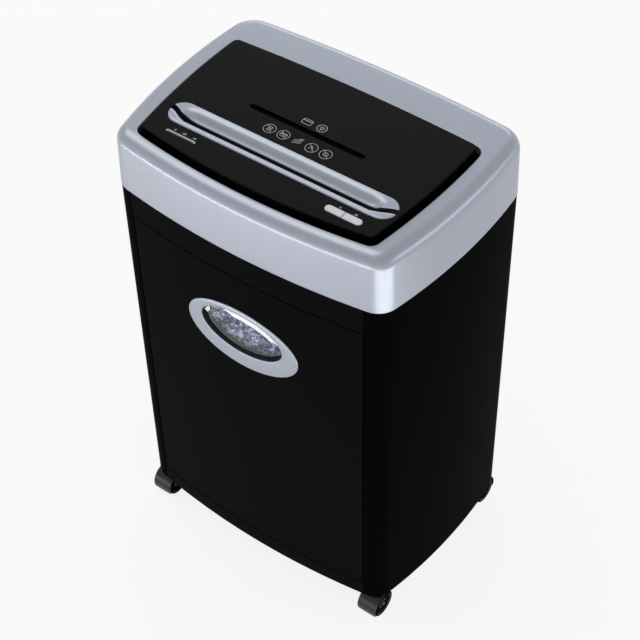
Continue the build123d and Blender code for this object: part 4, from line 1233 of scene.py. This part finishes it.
for corner in ("front_left", "front_right", "back_left", "back_right"):
    low, high = (Vector(point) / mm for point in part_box(f"caster_axle_{corner}"))
    axle_y, axle_z = (low.y + high.y) / 2, (low.z + high.z) / 2
    stem_x = (low.x + high.x) / 2
    facing = -1 if corner.startswith("front") else 1
    stem_y = axle_y - facing * trail

    hood, work = blank(f"caster_fender_{corner}")
    rows = []
    for step in range(hood_steps + 1):
        a = hood_start + (hood_stop - hood_start) * step / hood_steps
        rows.append(dots(work, [
            (stem_x + along, axle_y - facing * r * cos(a), axle_z + r * sin(a))
            for along, r in hood_shape
        ]))
    knit(work, rows)
    work.faces.new(rows[0])
    work.faces.new(rows[-1])
    web_back = axle_y - facing * 12.0
    outline = [(web_back, axle_z - 5.0), (web_back, axle_z + 10.6)]
    for step in range(web_steps + 1):
        a = web_start + (web_stop - web_start) * step / web_steps
        outline.append((axle_y - facing * web_radius * cos(a), axle_z + web_radius * sin(a)))
    outline.append((axle_y, axle_z - 5.0))
    block(work, *([(stem_x + side * web / 2, y, z) for y, z in outline] for side in (-1, 1)))
    fill(hood, work)
    roll_edges(hood, 0.3 * mm, 2, 40)
    even_shade(hood, 40.0)
    settle(hood, f"caster_hood_{corner}")

    stem, work = blank(f"caster_stem_{corner}")
    stem_top = (Vector(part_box(f"caster_hood_{corner}")[1]) / mm).z
    collar = stem_top - collar_drop
    for radius, bottom, top in ((7.0, collar, collar + 1.6), (4.0, collar + 1.2, stem_top)):
        block(work, *(circle(stem_x, stem_y, z, radius) for z in (bottom, top)))
    fill(stem, work)
    smooth(stem.data)
    settle(stem, f"caster_hood_{corner}", finishes["plain_steel"])
    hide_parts(f"caster_hood_{corner}")

    wheels, work = blank(f"caster_tyres_{corner}")
    for side in (-1, 1):
        profile = [(side * (web / 2 + pin_gap + along), r) for along, r in wheel_shape]
        turned(work, profile, stem_x, axle_y, axle_z)
    fill(wheels, work)
    smooth(wheels.data, 35.0)
    settle(wheels, f"caster_wheels_{corner}")
    second_finish(wheels, deep_black_and_shade, lambda face: abs(face.normal.x) > cheek)
    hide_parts(f"caster_wheels_{corner}")
print("casters done")

# %% [markdown]
# ## The room
# Floor and surround show as white to the eye and in anything glossy, while the light they give is
# plainer. The floor keeps a trace of the machine's shadow. One large soft lamp above and to the
# left lights the top, one behind gives the sheen on the back border, and the surround is dimmer
# high up than at the horizon, which draws the dark band inside each rounding. Low in front, two
# long lamps draw the bright line under the rounding and fill the face, a third lights the right
# front corner, and a narrow one at the back right draws the line along the right side. Lamps are
# seen only by what they light.

# %% Floor
floor, work = blank("studio_floor")
bmesh.ops.create_grid(work, x_segments=8, y_segments=8, size=6.0)
work.to_mesh(floor.data)
work.free()
floor_finish = Finish("floor_paper", (0.78, 0.78, 0.78), 0.9, Specular_IOR_Level=0.1)
tooth = floor_finish.noise(300.0)
floor_finish.set("Base Color", floor_finish.blend(tooth, (0.77, 0.77, 0.77), (0.80, 0.80, 0.80)))
white = floor_finish.node("ShaderNodeEmission", {}, {"Color": full_white, "Strength": 1.0})
shaded = Wire(floor_finish, floor_finish.shader.outputs[0])
share = floor_finish.shown_white() * 0.86
mixed = floor_finish.node("ShaderNodeMixShader", {}, {0: share, 1: shaded, 2: white})
floor_finish.put(floor_finish.tree.nodes["Material Output"].inputs["Surface"], mixed)
floor.data.materials.append(floor_finish.material)

# %% Lamps and surround
faintly_warm, warm, plain = (1.0, 0.975, 0.93), (1.0, 0.965, 0.92), (1, 1, 1)
lamps = {  # place, what it faces, size in metres, power in watts, colour
    "back_soft": ((-1.2, 2.5, 1.55), (0, 0, 0.45), (2.0, 0.8), 10.0, plain),
    "top_soft": ((-1.10, 0.0, 2.7), (0, 0, 0.5), (1.8, 2.2), 19.0, faintly_warm),
    "front_line": ((-0.26, -0.90, 0.03), (0, -0.1, 0.5), (1.5, 0.16), 4.6, warm),
    "front_fill": ((-0.50, -0.66, 0.02), (0, -0.1, 0.5), (1.4, 0.5), 0.8, warm),
    "corner_glint": ((0.56, -0.31, 0.03), (0.145, -0.095, 0.49), (1.05, 0.16), 2.6, warm),
    "side_line": ((2.05, 1.0, 0.85), (0.15, 0.0, 0.5), (1.5, 0.2), 3.8, plain),
}
for name, (spot, aim, size, power, colour) in lamps.items():
    lamp = new_piece(name, bpy.data.lights.new(name, "AREA"))
    lamp.data.shape = "RECTANGLE"
    lamp.data.size, lamp.data.size_y = size
    lamp.data.energy = power
    lamp.data.color = colour
    lamp.location = spot
    lamp.rotation_euler = (Vector(aim) - Vector(spot)).to_track_quat("-Z", "Y").to_euler()
    lamp.visible_camera = False

world = bpy.data.worlds.new("studio")
bpy.context.scene.world = world
world.use_nodes = True
sky = Recipe(world.node_tree)
toward = sky.node("ShaderNodeTexCoord", output="Generated")
height = sky.node("ShaderNodeSeparateXYZ", {}, {"Vector": toward}, "Z")
dusk = sky.node(
    "ShaderNodeMapRange",
    {"interpolation_type": "SMOOTHSTEP"},
    {"Value": height, "From Min": 0.05, "From Max": 0.40, "To Min": 1.0, "To Max": 0.76},
)
given, shown = 0.75, 1.0
strength = sky.node(
    "ShaderNodeMapRange", {}, {"Value": sky.shown_white(), "To Min": given, "To Max": shown}
)
surround = world.node_tree.nodes["Background"]
sky.put(surround.inputs["Color"], full_white)
sky.put(surround.inputs["Strength"], dusk * strength)
bpy.context.scene.view_settings.view_transform = "Standard"

# %% [markdown]
# ## The camera
# The view is from the machine's right front corner, well above it, through a long lens. The
# camera is placed by where it stands and three directions, with a degree and a half of roll.

# %% Place the camera
heading, dip, roll = radians(37.35), radians(46.35), radians(-1.442)
look = Vector((-sin(heading) * cos(dip), cos(heading) * cos(dip), -sin(dip)))
level = Vector((cos(heading), sin(heading), 0.0))
above = level.cross(look)
right = level * cos(roll) + above * sin(roll)
up = above * cos(roll) - level * sin(roll)
camera = new_piece("camera", bpy.data.cameras.new("camera"))
camera.data.lens = 94.8
camera.data.sensor_width = 36.0
camera.data.dof.use_dof = False
stand = Vector((0.7156, -0.9343, 1.5088))
turn_matrix = Matrix((right, up, -look)).transposed().to_4x4()
camera.matrix_world = Matrix.Translation(stand) @ turn_matrix
bpy.context.scene.camera = camera
